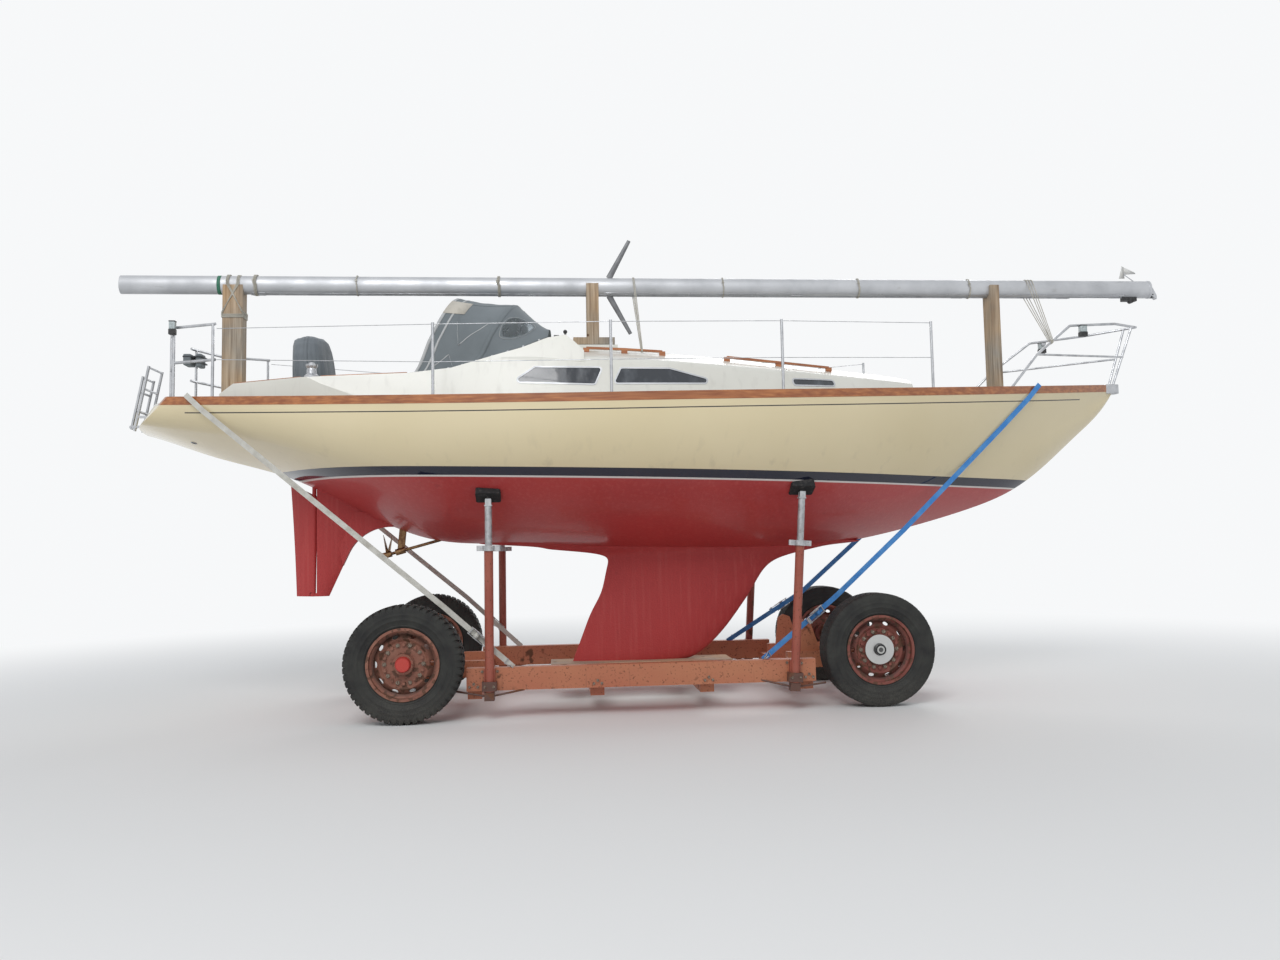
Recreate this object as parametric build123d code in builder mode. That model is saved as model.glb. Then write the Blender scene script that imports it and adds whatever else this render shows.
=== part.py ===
import math
import os

from build123d import *

os.makedirs("parts", exist_ok=True)

# A fin-keel sailing yacht of about 9.4 m standing on its four-wheel boat trailer.
# Millimetres; X forward to the bow, Y to port, Z up; origin on the ground under the middle.

# Hull lines
stem_x = 4600
stern_x = -4794
half_beam_max = 1500
half_beam_transom = 600
widest_x = -250
fullness_fore = 1.85
fullness_aft = 1.95
sheer_low = 2606
sheer_low_x = -1000
sheer_end_x = -4621
sheer_rise_bow = 299
sheer_rise_stern = 115
deck_edge = 20
deck_camber = 70
bow_end_x = 4500

# Reverse transom, raked and rounded in plan; its place on the centreline is given at one height
transom_x = -4888
transom_level = 2400
transom_rake = 0.67
transom_radius = 1118

# Toe rail
rail_height = 72
rail_width = 30
seat_gap = 0.3
rail_gap = 0.6

# Keel, skeg, rudder and propeller
keel_sole = 360
rudder_x = -3287
rudder_foot = 1022
rudder_angle = -30
rudder_stock_radius = 19
blade_head = 1955
blade_top_slope = 0.40
shaft_radius = 14
shaft_exit = (-2129, 1524)
propeller_x = -2610
propeller_height = 1395
propeller_radius = 190

# Cockpit and coachroof
cockpit_aft = -3740
cockpit_fore = -1560
seat_half = 760
seat_height = 2640
well_half = 300
well_aft = -3560
well_fore = -1760
well_floor = 2260
liner_wall = 14
coach_wall = 22
pane_thickness = 8
window_frame_width = 14
window_frame_rise = 4
coaming_inner = 768
winch_y = 836
cabin_aft = -1440
cabin_fore = 1000
cabin_half = 600
cabin_floor = 2000

# Sliding hatch on the crown of the roof, and forehatch
roof_crown = 3300
roof_radius = 1880
hatch_half = 300
hatch_length = 560
hatch_rise = 8
hatch_thickness = 20
hatch_clearance = 6
garage_aft = -1040
garage_fore = -440
garage_half = 345
garage_skin = 14
forehatch_x = 2720
forehatch_side = 520
forehatch_thickness = 26
forehatch_pin = 5

# Rails and guard wires
tube_radius = 12.5
wire_radius = 3
stanchion_height = 658
wire_heights = (330, 645)
stanchion_x = (-2030, -568, 888, 2340)
stanchion_inset = 75

# Mast
mast_heel_x = -5060
mast_head_x = 5030
mast_half_width = 62
mast_half_height = 88
mast_height = 3960
spreader_x = -493
spreader_tip_x = -290
spreader_tip = 375

# Trailer
tyre_radius = 490
tyre_width = 265
bead_radius = 288
rim_lip = 300
rear_axle_x = -2305
front_axle_x = 1764
rear_track_face = 1120
front_track_face = 1000
axle_height = tyre_radius
axle_size = 110
beam_low = 240
beam_high = 430
beam_inner = 860
beam_outer = 960
beam_rear_x = -1800
beam_fore_x = 1186
rail_low = 290
rail_half_gap = 360
rail_thickness = 80
kingpin_y = 690
kingpin_radius = 16
steer_arm = 180
rod_height = 258
rod_radius = 18
drawbar_eye_x = 2540
drawbar_low = 345
drawbar_depth = 60
wheel_gap = 0.3
post_table = ((-1605, 0), (969, 4.0))
post_y = 1010
post_radius = 38
post_inner_radius = 29
post_collar_height = 1410
post_foot = 250
pad_length = 210
pad_width = 150


def sheer_height(x):
    """Height of the deck edge: two parabolas from the lowest point to bow and stern."""
    if x > sheer_low_x:
        share = (x - sheer_low_x) / (stem_x - sheer_low_x)
        return sheer_low + sheer_rise_bow * share**2
    share = (x - sheer_low_x) / (sheer_end_x - sheer_low_x)
    return sheer_low + sheer_rise_stern * share**2


def half_beam(x):
    """Half the width of the deck at a station."""
    if x > widest_x:
        share = min((x - widest_x) / (stem_x + 10 - widest_x), 0.998)
        return half_beam_max * (1 - share**fullness_fore)
    share = (widest_x - x) / (widest_x - stern_x)
    return half_beam_max - (half_beam_max - half_beam_transom) * share**fullness_aft


def deck_half(x):
    """Half the width of the deck inside the toe rails."""
    return max(half_beam(x) - rail_width - rail_gap, 4)


def deck_height(x, y):
    """Height of the cambered deck surface."""
    camber = deck_camber * half_beam(x) / half_beam_max
    return sheer_height(x) + deck_edge + camber * (1 - (y / deck_half(x)) ** 2)


def cross_plane(x):
    """Upright plane across the boat, its own x to port and its own y up."""
    return Plane(origin=(x, 0, 0), x_dir=(0, 1, 0), z_dir=(1, 0, 0))


def largest(builder):
    """The builder's main solid, without the crumbs that a cut leaves behind."""
    return builder.part.solids().sort_by(SortBy.VOLUME)[-1]


def label(builder, name):
    builder.part.label = name
    export_step(builder.part, f"parts/{name}.step")


# Hull: x, height of the bottom on the centreline, bilge out, bilge up, rise of floor
hull_table = (
    (-4900, 2560, 0.74, 0.42, 10),
    (-4200, 2332, 0.77, 0.44, 11),
    (-3500, 2122, 0.79, 0.46, 12),
    (-2850, 1800, 0.80, 0.46, 12),
    (-2200, 1532, 0.80, 0.47, 12),
    (-1500, 1478, 0.81, 0.47, 10),
    (-700, 1432, 0.81, 0.47, 10),
    (150, 1398, 0.80, 0.47, 10),
    (1000, 1386, 0.78, 0.47, 12),
    (1800, 1444, 0.73, 0.46, 16),
    (2500, 1590, 0.68, 0.46, 23),
    (3050, 1744, 0.62, 0.45, 30),
    (3500, 1925, 0.57, 0.45, 36),
    (3850, 2166, 0.54, 0.45, 40),
    (4200, 2468, 0.52, 0.45, 43),
    (4580, 2867, 0.52, 0.45, 45),
)
deck_stations = [row[0] for row in hull_table[:-1]] + [bow_end_x]


def hull_section(row):
    x, bottom, bilge_out, bilge_up, rise = row
    width = half_beam(x)
    top = sheer_height(x)
    bilge = (width * bilge_out, bottom + (top - bottom) * bilge_up)
    floor_direction = (math.cos(math.radians(rise)), math.sin(math.radians(rise)))
    with BuildSketch(cross_plane(x)) as section:
        with BuildLine():
            floor = TangentArc((0, bottom), bilge, tangent=floor_direction)
            TangentArc(bilge, (width, top), tangent=floor % 1)
            Line((width, top), (0, top))
            mirror(about=Plane.YZ)
        make_face()
    return section.sketch.faces()[0]


def deck_section(x):
    width = deck_half(x)
    low = sheer_height(x) + seat_gap
    edge = sheer_height(x) + deck_edge
    crown = deck_height(x, 0)
    with BuildSketch(cross_plane(x)) as section:
        with BuildLine():
            Line((-width, low), (width, low))
            Line((width, low), (width, edge))
            ThreePointArc((width, edge), (0, crown), (-width, edge))
            Line((-width, edge), (-width, low))
        make_face()
    return section.sketch.faces()[0]


def rail_section(x, side):
    width = half_beam(x)
    low = sheer_height(x) + seat_gap
    inner = width - rail_width
    with BuildSketch(cross_plane(x)) as section:
        with BuildLine():
            Polyline(
                (side * inner, low),
                (side * (width + 2), low),
                (side * width, low + rail_height),
                (side * (inner + 5), low + rail_height),
                close=True,
            )
        make_face()
    return section.sketch.faces()[0]


# What lies aft of the transom: its face is an arc in plan, carried up and forward along the rake
transom_low = 1900
transom_low_x = transom_x - transom_rake * (transom_level - transom_low)
transom_half = 900
transom_sag = transom_radius - math.sqrt(transom_radius**2 - transom_half**2)
with BuildPart() as stern_space:
    with BuildSketch(Plane.XY.offset(transom_low)):
        with BuildLine():
            ThreePointArc(
                (transom_low_x + transom_sag, transom_half),
                (transom_low_x, 0),
                (transom_low_x + transom_sag, -transom_half),
            )
            Polyline(
                (transom_low_x + transom_sag, -transom_half),
                (transom_low_x - 2000, -transom_half),
                (transom_low_x - 2000, transom_half),
                (transom_low_x + transom_sag, transom_half),
            )
        make_face()
    extrude(amount=2000, dir=(transom_rake, 0, 1))


def transom_at(height, y):
    """Where the transom's face lies at a height and distance from the centreline."""
    sag = transom_radius - math.sqrt(transom_radius**2 - y**2)
    return transom_x + transom_rake * (height - transom_level) + sag


# The hull is closed by its deck; the cabin and the cockpit are sunk into it.
with BuildPart() as hull_whole:
    loft([hull_section(row) for row in hull_table])
    add(stern_space.part, mode=Mode.SUBTRACT)

with BuildPart() as hull:
    add(hull_whole.part)

with BuildPart() as deck:
    loft([deck_section(x) for x in deck_stations])
    add(stern_space.part, mode=Mode.SUBTRACT)

with BuildPart() as cockpit_space:
    with BuildSketch(Plane.XY.offset(seat_height - liner_wall)):
        with Locations(((cockpit_aft + cockpit_fore) / 2, 0)):
            RectangleRounded(cockpit_fore - cockpit_aft, 2 * seat_half, 60)
    extrude(amount=400)
    with BuildSketch(Plane.XY.offset(well_floor - liner_wall)):
        with Locations(((well_aft + well_fore) / 2, 0)):
            RectangleRounded(
                well_fore - well_aft + 2 * liner_wall, 2 * well_half + 2 * liner_wall, 50 + liner_wall
            )
    extrude(amount=400)

with BuildPart() as cabin_space:
    with BuildSketch(Plane.XY.offset(cabin_floor)):
        with Locations(((cabin_aft + cabin_fore) / 2, 0)):
            Rectangle(cabin_fore - cabin_aft, 2 * cabin_half)
    extrude(amount=1200)

with BuildPart() as forehatch_space:
    with BuildSketch(Plane.XY.offset(2500)):
        with Locations((forehatch_x, 0)):
            Rectangle(forehatch_side - 80, forehatch_side - 80)
    extrude(amount=600)

for body in (hull, deck):
    with body:
        add(cockpit_space.part, mode=Mode.SUBTRACT)
        add(cabin_space.part, mode=Mode.SUBTRACT)
        add(forehatch_space.part, mode=Mode.SUBTRACT)
label(deck, "deck")

# Cockpit liner: seats and foot well in one moulding
with BuildPart() as liner:
    add(cockpit_space.part)
    with BuildSketch(Plane.XY.offset(seat_height)):
        with Locations(((cockpit_aft + cockpit_fore) / 2, 0)):
            RectangleRounded(
                cockpit_fore - cockpit_aft - 2 * liner_wall, 2 * seat_half - 2 * liner_wall, 50
            )
    extrude(amount=500, mode=Mode.SUBTRACT)
    with BuildSketch(Plane.XY.offset(well_floor)):
        with Locations(((well_aft + well_fore) / 2, 0)):
            RectangleRounded(well_fore - well_aft, 2 * well_half, 50)
    extrude(amount=500, mode=Mode.SUBTRACT)
    with BuildSketch(Plane.XY.offset(sheer_low + 100)):
        Rectangle(12000, 4000)
    extrude(amount=600, mode=Mode.SUBTRACT)
label(liner, "cockpit_liner")

# Toe rails of teak along both deck edges, their stern ends cut to the rake of the transom
with BuildPart() as toe_rails:
    for side in (-1, 1):
        loft([rail_section(x, side) for x in deck_stations])
    add(stern_space.part, mode=Mode.SUBTRACT)
label(toe_rails, "toe_rails")

# Stemhead fitting: a cap over the bow with the slot and roller for the anchor chain
stemhead_low = sheer_height(bow_end_x) - 14
stemhead_top = sheer_height(bow_end_x) + rail_height + 8
with BuildPart() as stemhead:
    with BuildSketch(Plane.XY.offset(stemhead_low)):
        with BuildLine():
            Polyline(
                (bow_end_x + seat_gap, 60), (stem_x + 40, 48), (stem_x + 40, -48),
                (bow_end_x + seat_gap, -60), close=True,
            )
        make_face()
    extrude(amount=stemhead_top - stemhead_low)
    fillet(stemhead.faces().sort_by(Axis.Z)[-1].edges(), radius=6)
    with BuildSketch(Plane.XY.offset(stemhead_top - 46)):
        with Locations((stem_x + 20, 0)):
            Rectangle(110, 30)
    extrude(amount=60, mode=Mode.SUBTRACT)
    add(hull_whole.part, mode=Mode.SUBTRACT)
    with BuildSketch(Plane.XZ.offset(-13)):
        with Locations((stem_x + 16, stemhead_top - 16)):
            Circle(22)
    extrude(amount=26)
    with BuildSketch(Plane.XZ.offset(-18)):
        with Locations((stem_x + 16, stemhead_top - 16)):
            Circle(6)
    extrude(amount=36)
label(stemhead, "stemhead")

# Coachroof: x, half width at deck, half width at top, height of side, height of crown
coach_table = (
    (-1500, 985, 850, 3110, 3298),
    (-900, 988, 848, 3097, 3301),
    (-200, 975, 824, 3068, 3284),
    (600, 930, 775, 3020, 3212),
    (1500, 800, 620, 2971, 3121),
    (2370, 560, 380, 2925, 3028),
)


def coach_section(row, inset, x_shift):
    x, foot, top, side_top, crown = row
    base = sheer_low - 6
    with BuildSketch(cross_plane(x + x_shift)) as section:
        with BuildLine():
            Polyline(
                (-top + inset, side_top - inset),
                (-foot + inset, base),
                (foot - inset, base),
                (top - inset, side_top - inset),
            )
            ThreePointArc(
                (top - inset, side_top - inset), (0, crown - inset), (-top + inset, side_top - inset)
            )
        make_face()
        corners = section.vertices().sort_by(Axis.Y)[-2:]
        fillet(corners, radius=80)
    return section.sketch.faces()[0]


def coach_loft(inset):
    shifts = [inset] + [0] * (len(coach_table) - 2) + [-inset]
    sections = [coach_section(row, inset, shift) for row, shift in zip(coach_table, shifts)]
    with BuildPart() as block:
        loft(sections)
    return block.part


coach_outer = coach_loft(0)
coach_pane = coach_loft(pane_thickness)
coach_inner = coach_loft(coach_wall)

# Windows of one side: outline points in x and z
window_table = (
    ((-1384, 2869), (-1203, 2997), (-623, 2996), (-685, 2849)),
    ((-511, 2857), (-447, 2991), (-18, 2990), (318, 2895), (300, 2862)),
    ((1117, 2913), (1510, 2913), (1530, 2866), (1130, 2861)),
)
with BuildPart() as window_prisms:
    for outline in window_table:
        with BuildSketch(Plane.XZ.offset(-1200)):
            with BuildLine():
                Polyline(*outline, close=True)
            make_face()
            fillet(vertices(), radius=18)
        extrude(amount=2400)

with BuildPart() as coach_cut:
    add(coach_outer)
    add(coach_inner, mode=Mode.SUBTRACT)
    add(window_prisms.part, mode=Mode.SUBTRACT)
    add(deck.part, mode=Mode.SUBTRACT)
    add(hull_whole.part, mode=Mode.SUBTRACT)
    add(liner.part, mode=Mode.SUBTRACT)
    # Sliding hatch opening and companionway
    with BuildSketch(Plane.XY.offset(3200)):
        with Locations((garage_aft - 240, 0)):
            Rectangle(520, 2 * hatch_half - 80)
    extrude(amount=200, mode=Mode.SUBTRACT)
    with BuildSketch(cross_plane(coach_table[0][0] - 60)):
        with Locations((0, 3080)):
            Rectangle(2 * hatch_half - 80, 420)
    extrude(amount=160, mode=Mode.SUBTRACT)
    coach_shell = largest(coach_cut)
with BuildPart() as coachroof:
    add(coach_shell)
label(coachroof, "coachroof")

with BuildPart() as panes:
    add(coach_outer)
    add(coach_pane, mode=Mode.SUBTRACT)
    add(window_prisms.part, mode=Mode.INTERSECT)
label(panes, "window_panes")

# Bright frames round the windows, standing a little proud of the cabin side
with BuildPart() as window_frames:
    for outline in window_table:
        with BuildSketch(Plane.XZ.offset(-1200)) as outline_sketch:
            with BuildLine():
                Polyline(*outline, close=True)
            make_face()
            fillet(outline_sketch.vertices(), radius=18)
            offset(amount=window_frame_width, kind=Kind.ARC)
        extrude(amount=2400)
    add(window_prisms.part, mode=Mode.SUBTRACT)
    add(coach_loft(-window_frame_rise), mode=Mode.INTERSECT)
    add(coach_outer, mode=Mode.SUBTRACT)
label(window_frames, "window_frames")

# Washboard closing the companionway
with BuildPart() as washboard:
    with BuildSketch(cross_plane(coach_table[0][0] + 2)):
        with Locations((0, 3080)):
            Rectangle(2 * hatch_half - 80 - 2 * seat_gap, 420 - 2 * seat_gap)
    extrude(amount=18)
label(washboard, "washboard")


def roof_strip(x, length, half_width, low, high):
    """A strip across the crown of the roof, between two heights above it."""
    with BuildPart() as strip:
        with BuildSketch(cross_plane(x)):
            with Locations((0, roof_crown - roof_radius)):
                Circle(roof_radius + high)
                Circle(roof_radius + low, mode=Mode.SUBTRACT)
            with Locations((0, roof_crown)):
                Rectangle(2 * half_width, 300, mode=Mode.INTERSECT)
        extrude(amount=length)
    return strip.part


# Hatch garage on the roof, the hatch that slides into it and the runners that carry the hatch
hatch_top = hatch_rise + hatch_thickness
hatch_aft = garage_aft - hatch_length + 40
with BuildPart() as garage:
    add(
        roof_strip(
            garage_aft, garage_fore - garage_aft, garage_half, -60, hatch_top + hatch_clearance + garage_skin
        )
    )
    add(
        roof_strip(
            garage_aft - 30, garage_fore - garage_aft, hatch_half + 10, -60, hatch_top + hatch_clearance
        ),
        mode=Mode.SUBTRACT,
    )
    add(coach_outer, mode=Mode.SUBTRACT)
label(garage, "hatch_garage")

with BuildPart() as sliding_hatch:
    add(roof_strip(hatch_aft - 5, hatch_length + 10, hatch_half + 5, hatch_rise, hatch_top))
    with BuildSketch(Plane.XY.offset(roof_crown - 200)):
        with Locations((hatch_aft + hatch_length / 2, 0)):
            RectangleRounded(hatch_length, 2 * hatch_half, 30)
    extrude(amount=400, mode=Mode.INTERSECT)
label(sliding_hatch, "sliding_hatch")

runner_y = hatch_half - 22
with BuildPart() as hatch_runners:
    add(roof_strip(coach_table[0][0] + 40, 420, runner_y + 12, -30, hatch_rise - seat_gap))
    add(
        roof_strip(coach_table[0][0] + 40, 420, runner_y - 12, -30, hatch_rise - seat_gap),
        mode=Mode.SUBTRACT,
    )
    add(coach_outer, mode=Mode.SUBTRACT)
label(hatch_runners, "hatch_runners")

# Forehatch: coaming and lid
forehatch_deck = deck_height(forehatch_x, 0)
with BuildPart() as forehatch_ring:
    with BuildSketch(Plane.XY.offset(forehatch_deck - 60)):
        with Locations((forehatch_x, 0)):
            RectangleRounded(forehatch_side, forehatch_side, 50)
            RectangleRounded(forehatch_side - 80, forehatch_side - 80, 30, mode=Mode.SUBTRACT)
    extrude(amount=110)
    add(deck.part, mode=Mode.SUBTRACT)
    add(hull_whole.part, mode=Mode.SUBTRACT)
    forehatch_frame = largest(forehatch_ring)
with BuildPart() as forehatch_coaming:
    add(forehatch_frame)
label(forehatch_coaming, "forehatch_coaming")

forehatch_lid_low = forehatch_deck + 50 + seat_gap
forehatch_pin_x = forehatch_x + forehatch_side / 2 + 24
forehatch_pin_z = forehatch_lid_low + 12
ear_y = (-165, -115, 115, 165)
with BuildPart() as forehatch_coaming:
    add(forehatch_frame)
    for y in ear_y:
        with BuildSketch(Plane.XZ.offset(-y)):
            with BuildLine():
                Polyline(
                    (forehatch_pin_x - 30, forehatch_deck - 20),
                    (forehatch_pin_x + 9, forehatch_deck - 20),
                    (forehatch_pin_x + 9, forehatch_pin_z),
                    (forehatch_pin_x - 9, forehatch_pin_z),
                    (forehatch_pin_x - 9, forehatch_lid_low - 1),
                    (forehatch_pin_x - 30, forehatch_lid_low - 1),
                    close=True,
                )
            make_face()
            with Locations((forehatch_pin_x, forehatch_pin_z)):
                Circle(9)
        extrude(amount=5, both=True)
    for y in (-140, 140):
        with BuildSketch(Plane.XZ.offset(-y)):
            with Locations((forehatch_pin_x, forehatch_pin_z)):
                Circle(forehatch_pin)
        extrude(amount=25, both=True)
    add(deck.part, mode=Mode.SUBTRACT)
    add(hull_whole.part, mode=Mode.SUBTRACT)
label(forehatch_coaming, "forehatch_coaming")

with BuildPart() as forehatch:
    with BuildSketch(Plane.XY.offset(forehatch_lid_low)):
        with Locations((forehatch_x, 0)):
            RectangleRounded(forehatch_side + 20, forehatch_side + 20, 55)
    extrude(amount=forehatch_thickness)
    fillet(forehatch.faces().sort_by(Axis.Z)[-1].edges(), radius=8)
    for y in (-140, 140):
        with BuildSketch(Plane.XZ.offset(-y)):
            with Locations((forehatch_pin_x, forehatch_pin_z)):
                Circle(9)
            with Locations((forehatch_pin_x - 10, forehatch_pin_z - 3)):
                Rectangle(20, 12)
        extrude(amount=17, both=True)
        with BuildSketch(Plane.XZ.offset(-y)):
            with Locations((forehatch_pin_x, forehatch_pin_z)):
                Circle(forehatch_pin + 0.05)
        extrude(amount=18, both=True, mode=Mode.SUBTRACT)
label(forehatch, "forehatch")

# Cockpit coamings: they rise forward along the foot of the sprayhood to a breakwater on the roof.
# Their form is the crossing of a side view, a leaning section and a plan.
coaming_top = (
    (-3890, 2790),
    (-3770, 2877),
    (-3204, 2917),
    (-2281, 2954),
    (-1923, 3000),
    (-1543, 3120),
    (-1320, 3187),
    (-1097, 3280),
    (-934, 3311),
    (-853, 3243),
    (-772, 3160),
)
coaming_low = sheer_low + 20
with BuildPart() as coaming_side_view:
    with BuildSketch(Plane.XZ.offset(-1100)):
        with BuildLine():
            Polyline(
                (coaming_top[0][0], coaming_low), *coaming_top, (coaming_top[-1][0], coaming_low), close=True
            )
        make_face()
    extrude(amount=2200)
with BuildPart() as coamings:
    for side in (-1, 1):
        with BuildSketch(cross_plane(-4000)):
            with BuildLine():
                Polyline(
                    (side * coaming_inner, 2600),
                    (side * 981, 2600),
                    (side * 793, 3311),
                    (side * (coaming_inner - 40), 3311),
                    (side * (coaming_inner - 40), 3120),
                    (side * coaming_inner, 3120),
                    close=True,
                )
            make_face()
        extrude(amount=3300)
    with BuildSketch(Plane.XY.offset(coaming_low)):
        with BuildLine():
            Polyline(
                (-3890, -800), (-3000, -915), (-2281, -985), (-700, -985),
                (-700, 985), (-2281, 985), (-3000, 915), (-3890, 800), close=True,
            )
        make_face()
    extrude(amount=800, mode=Mode.INTERSECT)
    # Breakwater ahead of the hood, from the coaming to the hatch garage on each side
    with BuildSketch(Plane.XY.offset(3000)):
        for side in (-1, 1):
            with Locations(((-1050 - 772) / 2, side * (garage_half + seat_gap + 785) / 2)):
                Rectangle(1050 - 772, 785 - garage_half - seat_gap)
    extrude(amount=400)
    add(coaming_side_view.part, mode=Mode.INTERSECT)
    add(deck.part, mode=Mode.SUBTRACT)
    add(hull_whole.part, mode=Mode.SUBTRACT)
    add(coach_outer, mode=Mode.SUBTRACT)
    with BuildSketch(Plane.XY.offset(coaming_low)):
        with Locations(((cockpit_aft + cockpit_fore) / 2, 0)):
            Rectangle(2 * (cockpit_fore - cockpit_aft), 2 * coaming_inner)
    extrude(amount=3120 - coaming_low, mode=Mode.SUBTRACT)
    # Beside the cabin only the part above the shoulder of the roof stands free
    with BuildSketch(Plane.XY.offset(coaming_low)):
        with Locations(((coach_table[0][0] - 700) / 2, 0)):
            Rectangle(-700 - coach_table[0][0], 2200)
    extrude(amount=3060 - coaming_low, mode=Mode.SUBTRACT)
label(coamings, "coamings")

# Sprayhood: folded canvas canopy, open aft
hood_profile = (
    (-2281, 2954),
    (-1886, 3785),
    (-1355, 3705),
    (-1057, 3416),
    (-1097, 3280),
    (-1320, 3187),
    (-1543, 3120),
    (-1923, 3000),
)


def hood_block(inset):
    foot = hood_profile[0]
    peak = hood_profile[1]
    ridge = hood_profile[2]
    fore = hood_profile[3]
    with BuildPart() as block:
        with BuildSketch(Plane.XZ.offset(-1000)):
            with BuildLine():
                Polyline(
                    (foot[0] - 4 * inset, foot[1] - 6 * inset),
                    (peak[0] - 6 * inset, peak[1] - inset),
                    (ridge[0] - inset, ridge[1] - inset),
                    (fore[0] - 2 * inset, fore[1] - inset),
                    *[(x, z - 10 * inset + seat_gap) for x, z in hood_profile[4:]],
                    close=True,
                )
            make_face()
        extrude(amount=2000)
        with BuildSketch(cross_plane(-2500)):
            with BuildLine():
                Line((-820 + inset, 2800), (820 - inset, 2800))
                Line((820 - inset, 2800), (782 - inset, 3300))
                ThreePointArc((782 - inset, 3300), (0, 3815 - inset), (-782 + inset, 3300))
                Line((-782 + inset, 3300), (-820 + inset, 2800))
            make_face()
        extrude(amount=1700, mode=Mode.INTERSECT)
    return block.part


hood_outer = hood_block(0)
hood_inner = hood_block(8)
with BuildPart() as hood_cut:
    add(hood_outer)
    add(hood_inner, mode=Mode.SUBTRACT)
    add(coach_outer, mode=Mode.SUBTRACT)
    add(coamings.part, mode=Mode.SUBTRACT)
    add(garage.part, mode=Mode.SUBTRACT)
    # The sliding hatch passes under the front of the hood
    with BuildSketch(Plane.XY.offset(roof_crown - 60)):
        with Locations((garage_aft - 340, 0)):
            Rectangle(800, 2 * garage_half + 12)
    extrude(amount=110, mode=Mode.SUBTRACT)
    hood_shell = largest(hood_cut)
with BuildPart() as sprayhood:
    add(hood_shell)
label(sprayhood, "sprayhood")

# Steering pedestal and its canvas cover
pedestal_x = -3290
with BuildPart() as pedestal:
    with BuildSketch(Plane.XY.offset(well_floor)):
        with Locations((pedestal_x, 0)):
            Circle(70)
    extrude(amount=500)
label(pedestal, "steering_pedestal")

with BuildPart() as wheel_cover:
    with BuildSketch(Plane.XY.offset(well_floor + 500)):
        with Locations((pedestal_x, 0)):
            RectangleRounded(330, 560, 90)
    with BuildSketch(Plane.XY.offset(3300)):
        with Locations((pedestal_x - 10, 0)):
            RectangleRounded(300, 620, 110)
    with BuildSketch(Plane.XY.offset(3440)):
        with Locations((pedestal_x - 40, 0)):
            RectangleRounded(180, 380, 80)
    loft()
label(wheel_cover, "wheel_cover")

# Sheet winches on the coamings
with BuildPart() as winch_drum:
    with BuildSketch(Plane.XZ) as drum:
        with BuildLine():
            Polyline(
                (0, 2890), (62, 2890), (62, 2935), (42, 2955), (38, 3000), (50, 3020),
                (50, 3036), (24, 3040), (24, 3052), (0, 3052), close=True,
            )
        make_face()
    revolve(drum.sketch, axis=Axis.Z)
with BuildPart() as winches:
    for side in (-1, 1):
        with Locations((-3110, side * winch_y, 0)):
            add(winch_drum.part)
    add(coamings.part, mode=Mode.SUBTRACT)
label(winches, "winches")

# Fin keel: height, leading edge, trailing edge, half thickness; it flares into the hull at its root
keel_table = (
    (keel_sole, 200, -893, 58),
    (420, 330, -872, 66),
    (520, 452, -832, 70),
    (660, 584, -778, 74),
    (830, 716, -706, 79),
    (1000, 836, -618, 83),
    (1130, 916, -582, 85),
    (1220, 990, -562, 86),
    (1285, 1090, -548, 87),
    (1335, 1245, -570, 88),
    (1380, 1450, -760, 93),
    (1420, 1700, -1120, 111),
    (1455, 1900, -1400, 150),
    (1500, 2080, -1620, 230),
)


def foil_section(row):
    height, leading, trailing, half = row
    fattest = leading - 0.35 * (leading - trailing)
    with BuildSketch(Plane.XY.offset(height)) as section:
        with BuildLine():
            EllipticalCenterArc((fattest, 0), leading - fattest, half, start_angle=-90, arc_size=180)
            TangentArc((fattest, half), (trailing, 4), tangent=(-1, 0))
            Line((trailing, 4), (trailing, -4))
            TangentArc((fattest, -half), (trailing, -4), tangent=(-1, 0))
        make_face()
    return section.sketch.faces()[0]


with BuildPart() as keel:
    loft([foil_section(row) for row in keel_table])
    add(hull_whole.part, mode=Mode.SUBTRACT)
    keel_piece = keel.solids().sort_by(Axis.Z)[0]
with BuildPart() as keel_fin:
    add(keel_piece)
label(keel_fin, "keel_fin")

# Skeg ahead of the rudder, a tapered foil whose aft face is the rudder's hinge line
skeg_table = (
    (2150, -2632, rudder_x + 36, 60),
    (1600, -2882, rudder_x + 36, 50),
    (rudder_foot, -3145, rudder_x + 36, 36),
)


def skeg_section(row):
    height, leading, back, half = row
    with BuildSketch(Plane.XY.offset(height)) as section:
        with BuildLine():
            Line((back, half), (back, -half))
            TangentArc((back, half), (leading, 0), tangent=(1, 0.04))
            TangentArc((back, -half), (leading, 0), tangent=(1, -0.04))
        make_face()
    return section.sketch.faces()[0]


skeg_sections = [skeg_section(row) for row in skeg_table]
with BuildPart() as skeg_block:
    loft(skeg_sections)
    # Fairing that carries the leading edge forward into the hull
    with BuildSketch(Plane.XZ.offset(-30)):
        with BuildLine():
            Line((-3020, 1300), (-2973, 1400))
            TangentArc((-2973, 1400), (-2560, 1655), tangent=(0.42, 1))
            Polyline((-2560, 1655), (-2500, 1800), (-3100, 1800), (-3020, 1300))
        make_face()
    extrude(amount=60)
    add(hull_whole.part, mode=Mode.SUBTRACT)
    skeg_piece = skeg_block.solids().sort_by(Axis.Z)[0]
with BuildPart() as skeg:
    add(skeg_piece)
    # Heel bearing under the rudder stock
    with BuildSketch(Plane.XY.offset(rudder_foot)):
        with Locations((rudder_x, 0)):
            Circle(30)
        with Locations((rudder_x + 30, 0)):
            Rectangle(60, 50)
    extrude(amount=30)
    with BuildSketch(Plane.XY.offset(rudder_foot)):
        with Locations((rudder_x, 0)):
            Circle(rudder_stock_radius + 0.05)
    extrude(amount=30, mode=Mode.SUBTRACT)
label(skeg, "skeg")

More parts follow.
